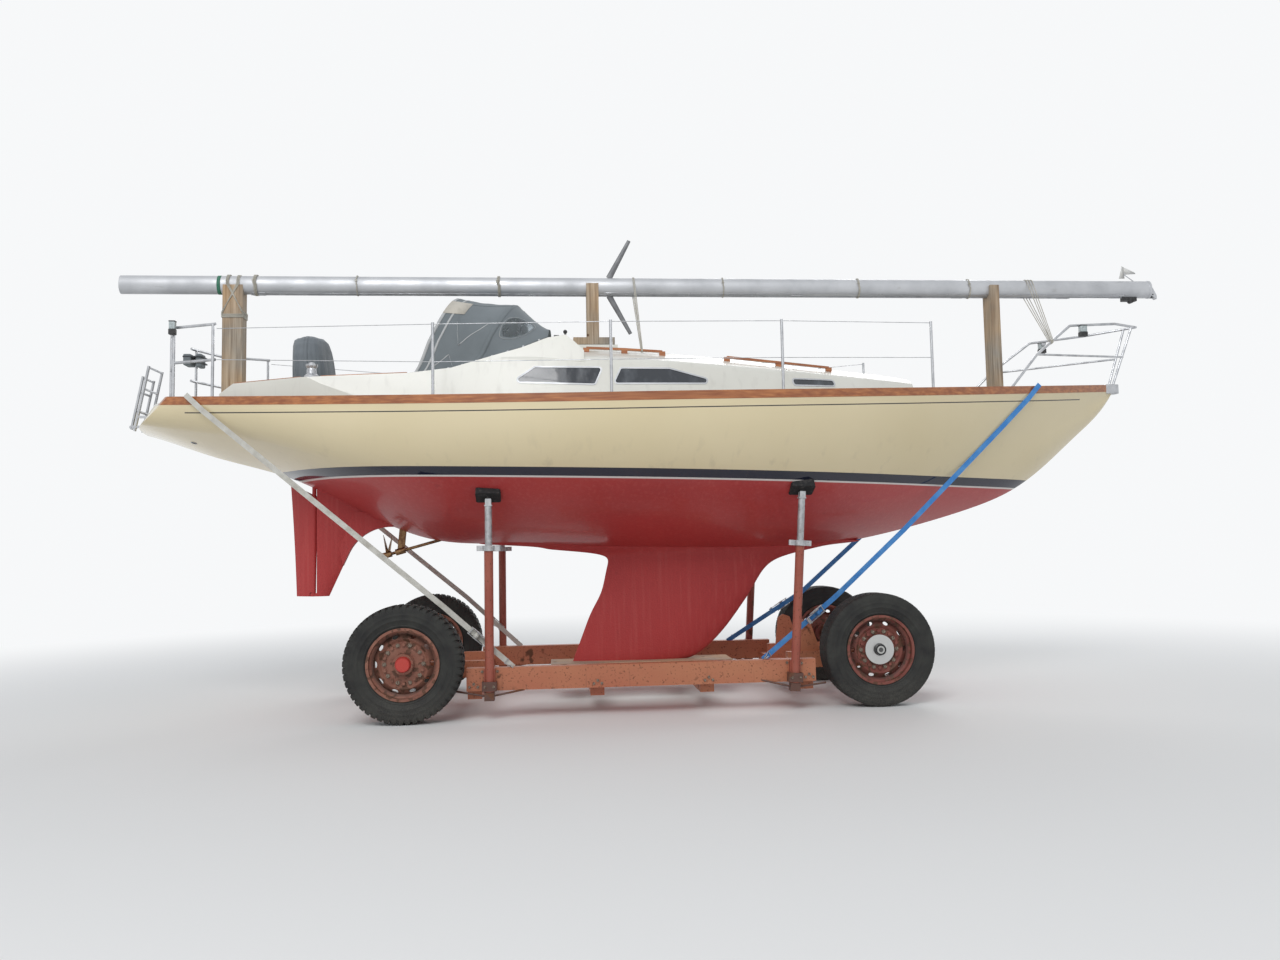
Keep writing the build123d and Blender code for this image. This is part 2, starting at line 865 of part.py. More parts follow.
# Rudder blade on its stock, turned to the angle that it has on the trailer
blade_table = (
    (rudder_foot, 205, 32),
    (1550, 240, 42),
    (2080, 290, 50),
)


def blade_section(row):
    height, chord, half = row
    with BuildSketch(Plane.XY.offset(height)) as section:
        with BuildLine():
            ThreePointArc((0, half * 0.6), (half * 0.6, 0), (0, -half * 0.6))
            TangentArc((0, half * 0.6), (-chord, 3), tangent=(-1, 0.08))
            Line((-chord, 3), (-chord, -3))
            TangentArc((0, -half * 0.6), (-chord, -3), tangent=(-1, -0.08))
        make_face()
    return section.sketch.faces()[0]


blade_sections = [blade_section(row) for row in blade_table]
blade_top = Plane(origin=(0, 0, blade_head), x_dir=(0, 1, 0), z_dir=(blade_top_slope, 0, 1))
with BuildPart() as blade:
    loft(blade_sections)
    split(bisect_by=blade_top, keep=Keep.BOTTOM)
    # Notch round the heel bearing, and the pin that turns in it
    with BuildSketch(Plane.XY.offset(rudder_foot - 1)):
        Circle(36)
    extrude(amount=37, mode=Mode.SUBTRACT)
    with BuildSketch(Plane.XY.offset(rudder_foot + 4)):
        Circle(rudder_stock_radius)
    extrude(amount=60)
    with BuildSketch(Plane.XY.offset(blade_head - 40)):
        Circle(rudder_stock_radius)
    extrude(amount=180)
with BuildPart() as rudder:
    with Locations(Location((rudder_x, 0, 0), (0, 0, rudder_angle))):
        add(blade.part)
label(rudder, "rudder")

# Propeller shaft, bracket and two-blade propeller
shaft_run = (shaft_exit[0] - propeller_x, shaft_exit[1] - propeller_height)
shaft_angle = math.degrees(math.atan2(shaft_run[1], shaft_run[0]))
shaft_plane = Plane(
    origin=(propeller_x, 0, propeller_height),
    x_dir=(0, 1, 0),
    z_dir=(math.cos(math.radians(shaft_angle)), 0, math.sin(math.radians(shaft_angle))),
)
# Propeller blade: distance from the shaft, chord, pitch angle, thickness
propeller_table = (
    (20, 56, 62, 14),
    (110, 104, 38, 9),
    (propeller_radius, 40, 25, 5),
)
propeller_turn = 40
with BuildPart() as propeller:
    with BuildSketch(shaft_plane.offset(-70)):
        Circle(shaft_radius)
    extrude(amount=math.hypot(*shaft_run) + 80)
    with BuildSketch(shaft_plane.offset(-55)):
        Circle(28)
    extrude(amount=90)
    for blade_turn in (propeller_turn, propeller_turn + 180):
        blade_base = Plane(shaft_plane.origin, x_dir=shaft_plane.x_dir, z_dir=shaft_plane.z_dir)
        blade_base = blade_base.rotated((0, 0, blade_turn))
        for reach, chord, pitch, thick in propeller_table:
            outward = blade_base.y_dir
            across = blade_base.x_dir * math.cos(math.radians(pitch))
            along = blade_base.z_dir * math.sin(math.radians(pitch))
            with BuildSketch(
                Plane(origin=blade_base.origin + outward * reach, x_dir=across + along, z_dir=outward)
            ):
                Ellipse(chord / 2, thick / 2)
        loft()
label(propeller, "propeller")

with BuildPart() as shaft_bracket:
    with BuildSketch(shaft_plane.offset(75)):
        Circle(30)
    extrude(amount=90)
    with BuildSketch(Plane(origin=(propeller_x + 120, 0, propeller_height + 40), z_dir=(0.1, 0, 1))):
        Ellipse(34, 9)
    extrude(amount=500)
    add(hull_whole.part, mode=Mode.SUBTRACT)
    with BuildSketch(shaft_plane):
        Circle(shaft_radius + 0.05)
    extrude(amount=300, mode=Mode.SUBTRACT)
    bracket_piece = shaft_bracket.solids().sort_by(Axis.Z)[0]
with BuildPart() as p_bracket:
    add(bracket_piece)
label(p_bracket, "shaft_bracket")

# Shaft log where the shaft leaves the hull: bored clear of the shaft
with hull:
    with BuildSketch(shaft_plane.offset(380)):
        Circle(shaft_radius + 0.05)
    extrude(amount=500, mode=Mode.SUBTRACT)
    with BuildSketch(Plane.XY.offset(blade_head - 50)):
        with Locations((rudder_x, 0)):
            Circle(rudder_stock_radius + 0.05)
    extrude(amount=200, mode=Mode.SUBTRACT)
label(hull, "hull")


# Tube runs
def tube(points, radius, bend):
    """A round tube along straight runs joined by bends."""
    with BuildPart() as run:
        with BuildLine():
            if len(points) > 2:
                path = FilletPolyline(*points, radius=bend)
            else:
                path = Line(*points)
        with BuildSketch(Plane(origin=path @ 0, z_dir=path % 0)):
            Circle(radius)
        sweep(path=path)
    return run.part


def rod(start, end, radius):
    """A straight round bar between two points."""
    direction = Vector(*end) - Vector(*start)
    with BuildPart() as bar:
        with BuildSketch(Plane(origin=start, z_dir=direction)):
            Circle(radius)
        extrude(amount=direction.length)
    return bar.part


# Stanchions with their sockets
stanchion_parts = []
for x in stanchion_x:
    for side in (-1, 1):
        y = side * (half_beam(x) - stanchion_inset)
        foot = deck_height(x, y)
        stanchion_parts.append(rod((x, y, foot - 4), (x, y, foot + stanchion_height), tube_radius))
with BuildPart() as stanchions:
    for item in stanchion_parts:
        add(item)
    for x in stanchion_x:
        for side in (-1, 1):
            y = side * (half_beam(x) - stanchion_inset)
            with BuildSketch(Plane.XY.offset(deck_height(x, y) - 20)):
                with Locations((x, y)):
                    Circle(32)
            extrude(amount=50)
    add(deck.part, mode=Mode.SUBTRACT)
    add(hull_whole.part, mode=Mode.SUBTRACT)
label(stanchions, "stanchions")

# Pulpit at the bow
pulpit_top = 3540
pulpit_parts = []
for side in (-1, 1):
    aft_foot_y = side * (half_beam(3190) - 90)
    aft_foot = deck_height(3190, aft_foot_y)
    pulpit_parts.append(
        tube(
            ((3190, aft_foot_y, aft_foot - 6), (3562, side * 500, 3187), (3960, side * 400, pulpit_top - 50),
             (4500, side * 270, pulpit_top), (4890, 0, pulpit_top + 30)),
            tube_radius, 60,
        )
    )
    pulpit_parts.append(
        rod((4590, side * 38, stemhead_top - 2), (4800, side * 70, pulpit_top + 20), tube_radius)
    )
    pulpit_parts.append(rod((3562, side * 500, 3187), (4700, side * 53, 3252), 10))
with BuildPart() as pulpit:
    for item in pulpit_parts:
        add(item)
    add(deck.part, mode=Mode.SUBTRACT)
    add(hull_whole.part, mode=Mode.SUBTRACT)
    add(stemhead.part, mode=Mode.SUBTRACT)
label(pulpit, "pulpit")

# Pushpit at the stern
pushpit_top = 3400
pushpit_mid = 3090
pushpit_parts = []
for side in (-1, 1):
    corner = (-4330, side * 640)
    fore = (-3950, side * 790)
    for x, y in (corner, fore, (-4480, side * 300)):
        pushpit_parts.append(rod((x, y, deck_height(x, y) - 6), (x, y, pushpit_top), tube_radius))
    for height in (pushpit_mid, pushpit_top):
        pushpit_parts.append(
            tube(
                ((fore[0] + 20, fore[1], height), (corner[0], corner[1], height),
                 (-4480, side * 300, height), (-4500, side * 225, height)),
                tube_radius, 40,
            )
        )
with BuildPart() as pushpit:
    for item in pushpit_parts:
        add(item)
    add(deck.part, mode=Mode.SUBTRACT)
    add(hull_whole.part, mode=Mode.SUBTRACT)
label(pushpit, "pushpit")

# Guard wires, port and starboard, upper and lower
wire_parts = []
wire_start = {wire_heights[0]: pushpit_mid, wire_heights[1]: pushpit_top - 40}
for side in (-1, 1):
    for rise in wire_heights:
        points = [(-3930, side * 790, wire_start[rise])]
        for x in stanchion_x:
            y = side * (half_beam(x) - stanchion_inset)
            points.append((x, y, deck_height(x, y) + rise))
        for start, end in zip(points[:-1], points[1:]):
            gap = (Vector(*end) - Vector(*start)).normalized() * (tube_radius + seat_gap)
            wire_parts.append(
                rod(tuple(Vector(*start) + gap), tuple(Vector(*end) - gap), wire_radius)
            )
with BuildPart() as guard_wires:
    for item in wire_parts:
        add(item)
label(guard_wires, "guard_wires")

# Boarding ladder: fixed part on the transom and the folding part against it
ladder_half = 150
ladder_foot = (-4850, 2560)
ladder_head = (-4735, 3160)
ladder_tube = 12.5
ladder_rung = 10
ladder_pin = 6
ladder_fold_shift = 45
ladder_direction = Vector(ladder_head[0] - ladder_foot[0], 0, ladder_head[1] - ladder_foot[1])


def ladder_part(shift, start, end, half, rungs):
    """Two stiles and their rungs, shifted aft of the fixed part's plane."""
    unit = ladder_direction.normalized()
    low = Vector(ladder_foot[0] - shift, 0, ladder_foot[1]) + unit * start
    high = Vector(ladder_foot[0] - shift, 0, ladder_foot[1]) + unit * end
    parts = []
    for side in (-1, 1):
        offset = Vector(0, side * half, 0)
        parts.append(rod(tuple(low + offset), tuple(high + offset), ladder_tube))
    for share in rungs:
        middle = low + (high - low) * share
        parts.append(
            rod(tuple(middle + Vector(0, -half, 0)), tuple(middle + Vector(0, half, 0)), ladder_rung)
        )
    return parts


ladder_unit = ladder_direction.normalized()
ladder_hinge = Vector(ladder_foot[0] - ladder_fold_shift, 0, ladder_foot[1]) + ladder_unit * 40
fixed_hinge = Vector(ladder_foot[0], 0, ladder_foot[1]) + ladder_unit * 40
ladder_fixed_parts = ladder_part(0, 0, ladder_direction.length, ladder_half, (0.3, 0.65, 0.98))
with BuildPart() as ladder:
    for item in ladder_fixed_parts:
        add(item)
    for side in (-1, 1):
        for height in (2600, 2690):
            ladder_x = ladder_foot[0] + ladder_direction.X / ladder_direction.Z * (height - ladder_foot[1])
            reach = transom_at(height, ladder_half) + 30 - ladder_x
            with BuildSketch(Plane.XZ.offset(-side * ladder_half)):
                with Locations((ladder_x + reach / 2, height)):
                    Rectangle(reach, 22)
            extrude(amount=7, both=True)
        # Hinge cheek beside the foot of each stile
        with BuildSketch(Plane.XZ.offset(-side * (ladder_half - ladder_tube))):
            with Locations(((fixed_hinge.X + ladder_hinge.X) / 2, fixed_hinge.Z)):
                SlotCenterToCenter(ladder_fold_shift, 30)
        extrude(amount=4, both=True)
        with BuildSketch(Plane.XZ.offset(-side * (ladder_half - ladder_tube))):
            with Locations((ladder_hinge.X, ladder_hinge.Z)):
                Circle(ladder_pin + 0.05)
        extrude(amount=5, both=True, mode=Mode.SUBTRACT)
    add(hull_whole.part, mode=Mode.SUBTRACT)
    add(deck.part, mode=Mode.SUBTRACT)
label(ladder, "ladder_fixed")

ladder_fold_parts = ladder_part(ladder_fold_shift, 20, 520, ladder_half - 32, (0.35, 0.7, 0.97))
with BuildPart() as ladder_fold:
    for item in ladder_fold_parts:
        add(item)
    for side in (-1, 1):
        with BuildSketch(Plane.XZ.offset(-side * (ladder_half - 24))):
            with Locations((ladder_hinge.X, ladder_hinge.Z)):
                Circle(ladder_pin)
        extrude(amount=18, both=True)
label(ladder_fold, "ladder_fold")

# Mast: an oval tube laid fore and aft, with its spreaders up and down
with BuildPart() as mast:
    with BuildSketch(cross_plane(mast_heel_x)):
        with Locations((0, mast_height)):
            Ellipse(mast_half_width, mast_half_height)
    extrude(amount=mast_head_x - mast_heel_x)
label(mast, "mast")

with BuildPart() as masthead:
    with BuildSketch(cross_plane(mast_head_x)):
        with Locations((0, mast_height)):
            Ellipse(mast_half_width + 3, mast_half_height + 3)
    extrude(amount=22)
    with BuildSketch(Plane.XZ.offset(-25)):
        with BuildLine():
            Polyline(
                (mast_head_x + 22, mast_height - 60), (mast_head_x + 90, mast_height - 100),
                (mast_head_x + 90, mast_height - 60), (mast_head_x + 40, mast_height + 40),
                (mast_head_x + 22, mast_height + 60), close=True,
            )
        make_face()
    extrude(amount=50)
label(masthead, "masthead_fitting")

spreader_parts = []
for side in (-1, 1):
    root = (spreader_x, 0, mast_height + side * (mast_half_height + seat_gap))
    tip = (spreader_tip_x, 0, mast_height + side * (mast_half_height + spreader_tip))
    direction = Vector(*tip) - Vector(*root)
    with BuildPart() as arm:
        with BuildSketch(Plane(origin=root, x_dir=(0, 1, 0), z_dir=direction)):
            Ellipse(12, 30)
        with BuildSketch(Plane(origin=tip, x_dir=(0, 1, 0), z_dir=direction)):
            Ellipse(9, 18)
        loft()
    spreader_parts.append(arm.part)
with BuildPart() as spreaders:
    for item in spreader_parts:
        add(item)
    with BuildSketch(cross_plane(spreader_x - 200)):
        with Locations((0, mast_height)):
            Ellipse(mast_half_width + seat_gap, mast_half_height + seat_gap)
    extrude(amount=400, mode=Mode.SUBTRACT)
label(spreaders, "spreaders")

def flat_strap(points, width, thickness):
    """A flat webbing strap along straight runs; its ends overlap at each turn."""
    with BuildPart() as strap:
        for start, end in zip(points[:-1], points[1:]):
            run = Vector(*end) - Vector(*start)
            flat = Plane(origin=start, x_dir=Vector(0, 1, 0).cross(run), z_dir=run)
            with BuildSketch(flat):
                Rectangle(width, thickness)
            extrude(amount=run.length + 1)
    return strap.part


# Teak grab rails along the roof: x and y of the three feet of each rail
grab_feet_table = (
    ((-745, 625), (-400, 622), (-55, 615)),
    ((545, 590), (1035, 545), (1530, 470)),
)
grab_foot = 56
grab_rise = 46
grab_height = 20
grab_width = 26
with BuildPart() as handrails:
    for side in (-1, 1):
        for feet in grab_feet_table:
            tops = []
            for x, y in feet:
                roof_hits = coach_outer.find_intersection_points(Axis((x, side * y, 0), (0, 0, 1)))
                roof = max(hit[0].Z for hit in roof_hits)
                tops.append((x, side * y, roof + grab_rise - grab_height / 2))
                with BuildSketch(Plane.XY.offset(roof - 30)):
                    with Locations((x, side * y)):
                        Rectangle(grab_foot, grab_width)
                extrude(amount=grab_rise + 30 - grab_height / 2)
            add(flat_strap(tops, grab_height, grab_width))
    add(coach_outer, mode=Mode.SUBTRACT)
label(handrails, "handrails")

# Mooring cleats on the side decks: x and y of each, near side and far side alike
cleat_table = ((-4120, 660), (-1220, 1120), (2968, 480))
cleat_horn = 170
cleat_rise = 44
with BuildPart() as cleats:
    for side in (-1, 1):
        for x, y in cleat_table:
            foot = deck_height(x, y)
            with BuildSketch(Plane.XY.offset(foot - 14)):
                with Locations((x - 28, side * y), (x + 28, side * y)):
                    Circle(11)
            extrude(amount=14 + cleat_rise)
            with BuildSketch(Plane.YZ.offset(x - cleat_horn / 2)):
                with Locations((side * y, foot + cleat_rise)):
                    Circle(12)
            extrude(amount=cleat_horn)
    add(deck.part, mode=Mode.SUBTRACT)
label(cleats, "cleats")

# White dome ventilator on the roof ahead of the mast's middle prop
vent_x = 1000
vent_radius = 66
vent_rise = 58
vent_hits = coach_outer.find_intersection_points(Axis((vent_x, 0, 0), (0, 0, 1)))
vent_seat = max(hit[0].Z for hit in vent_hits)
with BuildPart() as roof_vent:
    with BuildSketch(Plane.XY.offset(vent_seat - 40)):
        with Locations((vent_x, 0)):
            Circle(vent_radius - 12)
    extrude(amount=40 + vent_rise / 2)
    with BuildSketch(Plane.XY.offset(vent_seat + vent_rise / 2 - 5)):
        with Locations((vent_x, 0)):
            Circle(vent_radius)
    extrude(amount=vent_rise / 2 + 5)
    fillet(roof_vent.faces().sort_by(Axis.Z)[-1].edges(), vent_rise / 2 - 2)
    add(coach_outer, mode=Mode.SUBTRACT)
label(roof_vent, "roof_vent")

# Timber props that carry the mast above the deck: x, half length, half width, foot height
prop_plank_low = 3381
prop_table = (
    (-4030, 92, 62, deck_height(-4030, 0) - 12),
    (-659, 59, 75, prop_plank_low + 20),
    (3370, 45, 90, deck_height(3370, 0) - 12),
)
with BuildPart() as mast_props:
    for x, half_length, half_width, foot in prop_table:
        with BuildSketch(Plane.XY.offset(foot)):
            with Locations((x, 0)):
                Rectangle(2 * half_length, 2 * half_width)
        extrude(amount=mast_height - foot + 20)
    # Plank under the middle prop, on two battens across the hatch garage
    garage_top = roof_crown + hatch_top + hatch_clearance + garage_skin
    with BuildSketch(Plane.XY.offset(prop_plank_low)):
        with Locations((-650, 0)):
            Rectangle(400, 150)
    extrude(amount=67)
    with BuildSketch(Plane.XY.offset(garage_top - 4)):
        for x in (-810, -490):
            with Locations((x, 0)):
                Rectangle(40, 150)
    extrude(amount=prop_plank_low - garage_top + 4)
    with BuildSketch(cross_plane(mast_heel_x)):
        with Locations((0, mast_height)):
            Ellipse(mast_half_width + seat_gap, mast_half_height + seat_gap)
        with Locations((0, mast_height + 60)):
            Rectangle(2 * mast_half_width + 2 * seat_gap, 120)
    extrude(amount=mast_head_x - mast_heel_x, mode=Mode.SUBTRACT)
    add(deck.part, mode=Mode.SUBTRACT)
    add(coach_outer, mode=Mode.SUBTRACT)
    add(garage.part, mode=Mode.SUBTRACT)
label(mast_props, "mast_props")

# Trailer frame: side beams, cross beams and the rails that carry the axles
with BuildPart() as trailer_frame:
    for side in (-1, 1):
        with BuildSketch(Plane.XY.offset(beam_low)):
            with Locations(((beam_rear_x + beam_fore_x) / 2, side * (beam_inner + beam_outer) / 2)):
                Rectangle(beam_fore_x - beam_rear_x, beam_outer - beam_inner)
        extrude(amount=beam_high - beam_low)
        with BuildSketch(Plane.XY.offset(rail_low)):
            rail_y = side * (rail_half_gap + rail_thickness / 2)
            with Locations(((beam_rear_x + rear_axle_x - 150) / 2 + 60, rail_y)):
                Rectangle(beam_rear_x - rear_axle_x + 270, rail_thickness)
            with Locations(((beam_fore_x + front_axle_x + 90) / 2 - 60, rail_y)):
                Rectangle(front_axle_x + 90 - beam_fore_x + 120, rail_thickness)
        extrude(amount=axle_height - axle_size / 2 - rail_low)
    with BuildSketch(Plane.XY.offset(beam_low - 80)):
        for x in (beam_rear_x + 60, -700, 250, beam_fore_x - 60):
            with Locations((x, 0)):
                Rectangle(120, 2 * beam_inner)
    extrude(amount=150)
    # Gusset plates that stand on the axle rails ahead of the fore cross beam
    for side in (-1, 1):
        with BuildSketch(Plane.XZ.offset(-side * (rail_half_gap + rail_thickness / 2))):
            with BuildLine():
                Polyline(
                    (beam_fore_x - 40, beam_high - 2), (beam_fore_x - 10, 690), (beam_fore_x + 40, 726),
                    (beam_fore_x + 110, 700), (beam_fore_x + 200, beam_high - 2), close=True,
                )
            make_face()
        extrude(amount=7, both=True)
label(trailer_frame, "trailer_frame")

frame_top = beam_low + 70

# Planks under the keel
with BuildPart() as keel_planks:
    with BuildSketch(Plane.XY.offset(frame_top)):
        for y in (-105, 105):
            with Locations((-250, y)):
                Rectangle(1700, 200)
    extrude(amount=keel_sole - frame_top)
label(keel_planks, "keel_planks")

# Rear axle and front axle beam
with BuildPart() as rear_axle:
    with BuildSketch(Plane.XY.offset(axle_height - axle_size / 2)):
        with Locations((rear_axle_x, 0)):
            Rectangle(axle_size, 2 * (rear_track_face - tyre_width - 20))
    extrude(amount=axle_size)
    with BuildSketch(Plane.XZ.offset(-(rear_track_face - 130))):
        with Locations((rear_axle_x, axle_height)):
            Circle(40)
    extrude(amount=2 * (rear_track_face - 130))
label(rear_axle, "rear_axle")

with BuildPart() as front_axle:
    with BuildSketch(Plane.XY.offset(axle_height - axle_size / 2)):
        with Locations((front_axle_x, 0)):
            Rectangle(axle_size, 2 * (kingpin_y - 60))
    extrude(amount=axle_size)
    for side in (-1, 1):
        with BuildSketch(Plane.XY.offset(axle_height - axle_size / 2)):
            with Locations((front_axle_x, side * (kingpin_y - 40))):
                Rectangle(80, 60)
            with Locations((front_axle_x, side * kingpin_y)):
                Circle(40)
        extrude(amount=axle_size)
    # Forks of the knuckles reach in above and below the axle's eye
    with Locations((front_axle_x, kingpin_y, axle_height), (front_axle_x, -kingpin_y, axle_height)):
        Cylinder(kingpin_radius + 0.05, axle_size + 2, mode=Mode.SUBTRACT)
    # Drawbar pin boss below the beam
    with BuildSketch(Plane.XY.offset(drawbar_low)):
        with Locations((front_axle_x, 0)):
            Circle(22)
    extrude(amount=axle_height - axle_size / 2 - drawbar_low)
label(front_axle, "front_axle")


# Wheels
def tyre_profile():
    """Half the tyre's section across: tread, shoulders, sidewalls and beads."""
    half = tyre_width / 2
    with BuildSketch(Plane.XY) as section:
        with BuildLine():
            Line((-half + 36, tyre_radius), (half - 36, tyre_radius))
            shoulder = (half - 2, tyre_radius - 60)
            ThreePointArc((half - 36, tyre_radius), (half - 9, tyre_radius - 22), shoulder)
            ThreePointArc(shoulder, (half, tyre_radius - 120), (half - 26, bead_radius + 14))
            Line((half - 26, bead_radius + 14), (half - 30, bead_radius))
            Line((half - 30, bead_radius), (half - 58, bead_radius))
            crown = (half - 60, tyre_radius - 30)
            ThreePointArc((half - 58, bead_radius), (half - 26, tyre_radius - 110), crown)
            Line(crown, (-half + 60, tyre_radius - 30))
            ThreePointArc(
                (-half + 60, tyre_radius - 30), (-half + 26, tyre_radius - 110), (-half + 58, bead_radius)
            )
            Line((-half + 58, bead_radius), (-half + 30, bead_radius))
            Line((-half + 30, bead_radius), (-half + 26, bead_radius + 14))
            ThreePointArc(
                (-half + 26, bead_radius + 14), (-half, tyre_radius - 120), (-half + 2, tyre_radius - 60)
            )
            ThreePointArc(
                (-half + 2, tyre_radius - 60), (-half + 9, tyre_radius - 22), (-half + 36, tyre_radius)
            )
        make_face()
    return section.sketch


def rim_profile(disc):
    """Rim section: flanges, bead seats, drop centre; the disc stands at its own offset."""
    half = tyre_width / 2
    with BuildSketch(Plane.XY) as section:
        with BuildLine():
            Polyline(
                (-half + 18, rim_lip), (-half + 24, rim_lip), (-half + 24, bead_radius - 1),
                (-half + 70, bead_radius - 1), (-half + 90, bead_radius - 30), (half - 90, bead_radius - 30),
                (half - 70, bead_radius - 1), (half - 24, bead_radius - 1), (half - 24, rim_lip),
                (half - 18, rim_lip), (half - 18, bead_radius - 10), (half - 66, bead_radius - 10),
                (half - 86, bead_radius - 40), (-half + 86, bead_radius - 40),
                (-half + 66, bead_radius - 10), (-half + 18, bead_radius - 10), close=True,
            )
        make_face()
        with BuildLine():
            Polyline(
                (disc, 60), (disc + 14, 60), (disc + 14, 184), (disc + 34, 206), (disc + 4, bead_radius - 35),
                (disc - 30, bead_radius - 38), (disc + 18, 210), (disc, 190), close=True,
            )
        make_face()
    return section.sketch


def wheel_shape(disc, cap_table):
    """Wheel turned about the X axis: rim, disc with hand holes and studs, hub and its caps."""
    with BuildPart() as shape:
        revolve(rim_profile(disc), axis=Axis.X)
        with BuildSketch(cross_plane(disc - 60)):
            with PolarLocations(230, 10):
                Ellipse(15, 27)
        extrude(amount=140, mode=Mode.SUBTRACT)
        with BuildSketch(cross_plane(disc)):
            with PolarLocations(160, 10, start_angle=18):
                Circle(13)
        extrude(amount=36)
        with BuildSketch(cross_plane(disc - 60)):
            Circle(88)
            Circle(40 + wheel_gap, mode=Mode.SUBTRACT)
        extrude(amount=100)
        for start, radius, length, taper in cap_table:
            with BuildSketch(cross_plane(disc + start)):
                Circle(radius)
            extrude(amount=length, taper=taper)
    return shape.part


with BuildPart() as tyre_shape:
    revolve(tyre_profile(), axis=Axis.X)

# Caps over the hub: start, radius, length, taper
rear_wheel = wheel_shape(20, ((39, 84, 30, 0), (69, 66, 34, 14)))
front_wheel = wheel_shape(30, ((39, 128, 10, 0), (49, 52, 34, 8)))
wheel_table = (
    ("rear_right", rear_axle_x, rear_track_face, -1, rear_wheel),
    ("rear_left", rear_axle_x, rear_track_face, 1, rear_wheel),
    ("front_right", front_axle_x, front_track_face, -1, front_wheel),
    ("front_left", front_axle_x, front_track_face, 1, front_wheel),
)
for name, axle_x, face, side, shape in wheel_table:
    place = Location((axle_x, side * (face - tyre_width / 2), axle_height), (0, 0, 90 * side))
    with BuildPart() as tyre:
        with Locations(place):
            add(tyre_shape.part)
    label(tyre, f"tyre_{name}")
    with BuildPart() as wheel:
        with Locations(place):
            add(shape)
    label(wheel, f"wheel_{name}")

# Steering knuckles: fork round the axle's eye, stub for the hub and the steering arm
fork_gap = 3
for side, name in ((-1, "right"), (1, "left")):
    with BuildPart() as knuckle:
        with BuildSketch(Plane.XY.offset(axle_height - axle_size / 2 - fork_gap - 22)):
            with Locations((front_axle_x, side * kingpin_y)):
                Circle(36)
            with Locations((front_axle_x, side * (kingpin_y + 45))):
                Rectangle(60, 70)
        extrude(amount=22)
        with BuildSketch(Plane.XY.offset(axle_height + axle_size / 2 + fork_gap)):
            with Locations((front_axle_x, side * kingpin_y)):
                Circle(36)
            with Locations((front_axle_x, side * (kingpin_y + 45))):
                Rectangle(60, 70)
        extrude(amount=22)
        with BuildSketch(Plane.XY.offset(axle_height - axle_size / 2 - fork_gap - 22)):
            with Locations((front_axle_x, side * (kingpin_y + 70))):
                Rectangle(90, 30)
        extrude(amount=axle_size + 2 * fork_gap + 44)
        with BuildSketch(Plane.XY.offset(axle_height - axle_size / 2 - fork_gap - 22)):
            with Locations((front_axle_x, side * kingpin_y)):
                Circle(kingpin_radius)
        extrude(amount=axle_size + 2 * fork_gap + 44)
        stub = front_track_face - tyre_width / 2 + 50 - kingpin_y - 60
        with BuildSketch(Plane.XZ.offset(-side * (kingpin_y + 60))):
            with Locations((front_axle_x, axle_height)):
                Circle(40)
        extrude(amount=-side * stub)
        with BuildSketch(Plane.XY.offset(rod_height + rod_radius + 4)):
            with Locations((front_axle_x - steer_arm / 2, side * kingpin_y)):
                SlotOverall(steer_arm + 60, 50)
        extrude(amount=20)
        with BuildSketch(Plane.XY.offset(rod_height + rod_radius + 4)):
            with Locations((front_axle_x, side * kingpin_y)):
                Circle(24)
        extrude(amount=axle_height - axle_size / 2 - fork_gap - 22 - rod_height - rod_radius)
        with BuildSketch(Plane.XY.offset(rod_height - rod_radius)):
            with Locations((front_axle_x - steer_arm, side * kingpin_y)):
                Circle(9)
        extrude(amount=2 * rod_radius + 10)
    label(knuckle, f"knuckle_{name}")

# Track rod between the steering arms
with BuildPart() as track_rod:
    with BuildSketch(Plane.XZ.offset(-(kingpin_y - 20))):
        with Locations((front_axle_x - steer_arm, rod_height)):
            Circle(14)
    extrude(amount=2 * (kingpin_y - 20))
    with BuildSketch(Plane.XY.offset(rod_height - rod_radius)):
        for y in (-kingpin_y, 0, kingpin_y):
            with Locations((front_axle_x - steer_arm, y)):
                Circle(24)
    extrude(amount=2 * rod_radius)
    with BuildSketch(Plane.XY.offset(rod_height - rod_radius)):
        with Locations((front_axle_x - steer_arm, kingpin_y)):
            Circle(9.05)
        for y in (-kingpin_y, 0):
            with Locations((front_axle_x - steer_arm, y)):
                Circle(10.5)
    extrude(amount=2 * rod_radius, mode=Mode.SUBTRACT)
label(track_rod, "track_rod")

# Drawbar: steers the wheels through the track rod and ends in the towing eye
with BuildPart() as drawbar:
    with BuildSketch(Plane.XY.offset(drawbar_low)):
        with Locations(((drawbar_eye_x + front_axle_x - steer_arm) / 2, 0)):
            SlotOverall(drawbar_eye_x - front_axle_x + steer_arm + 100, 100)
        with Locations((front_axle_x, 0)):
            Circle(70)
    extrude(amount=drawbar_depth)
    with BuildSketch(Plane.XY.offset(drawbar_low)):
        with Locations((front_axle_x, 0)):
            Circle(22.05)
        with Locations((drawbar_eye_x, 0)):
            Circle(26)
    extrude(amount=drawbar_depth, mode=Mode.SUBTRACT)
    with BuildSketch(Plane.XY.offset(rod_height - rod_radius)):
        with Locations((front_axle_x - steer_arm, 0)):
            Circle(9)
    extrude(amount=drawbar_low + 10 - rod_height + rod_radius)
label(drawbar, "drawbar")

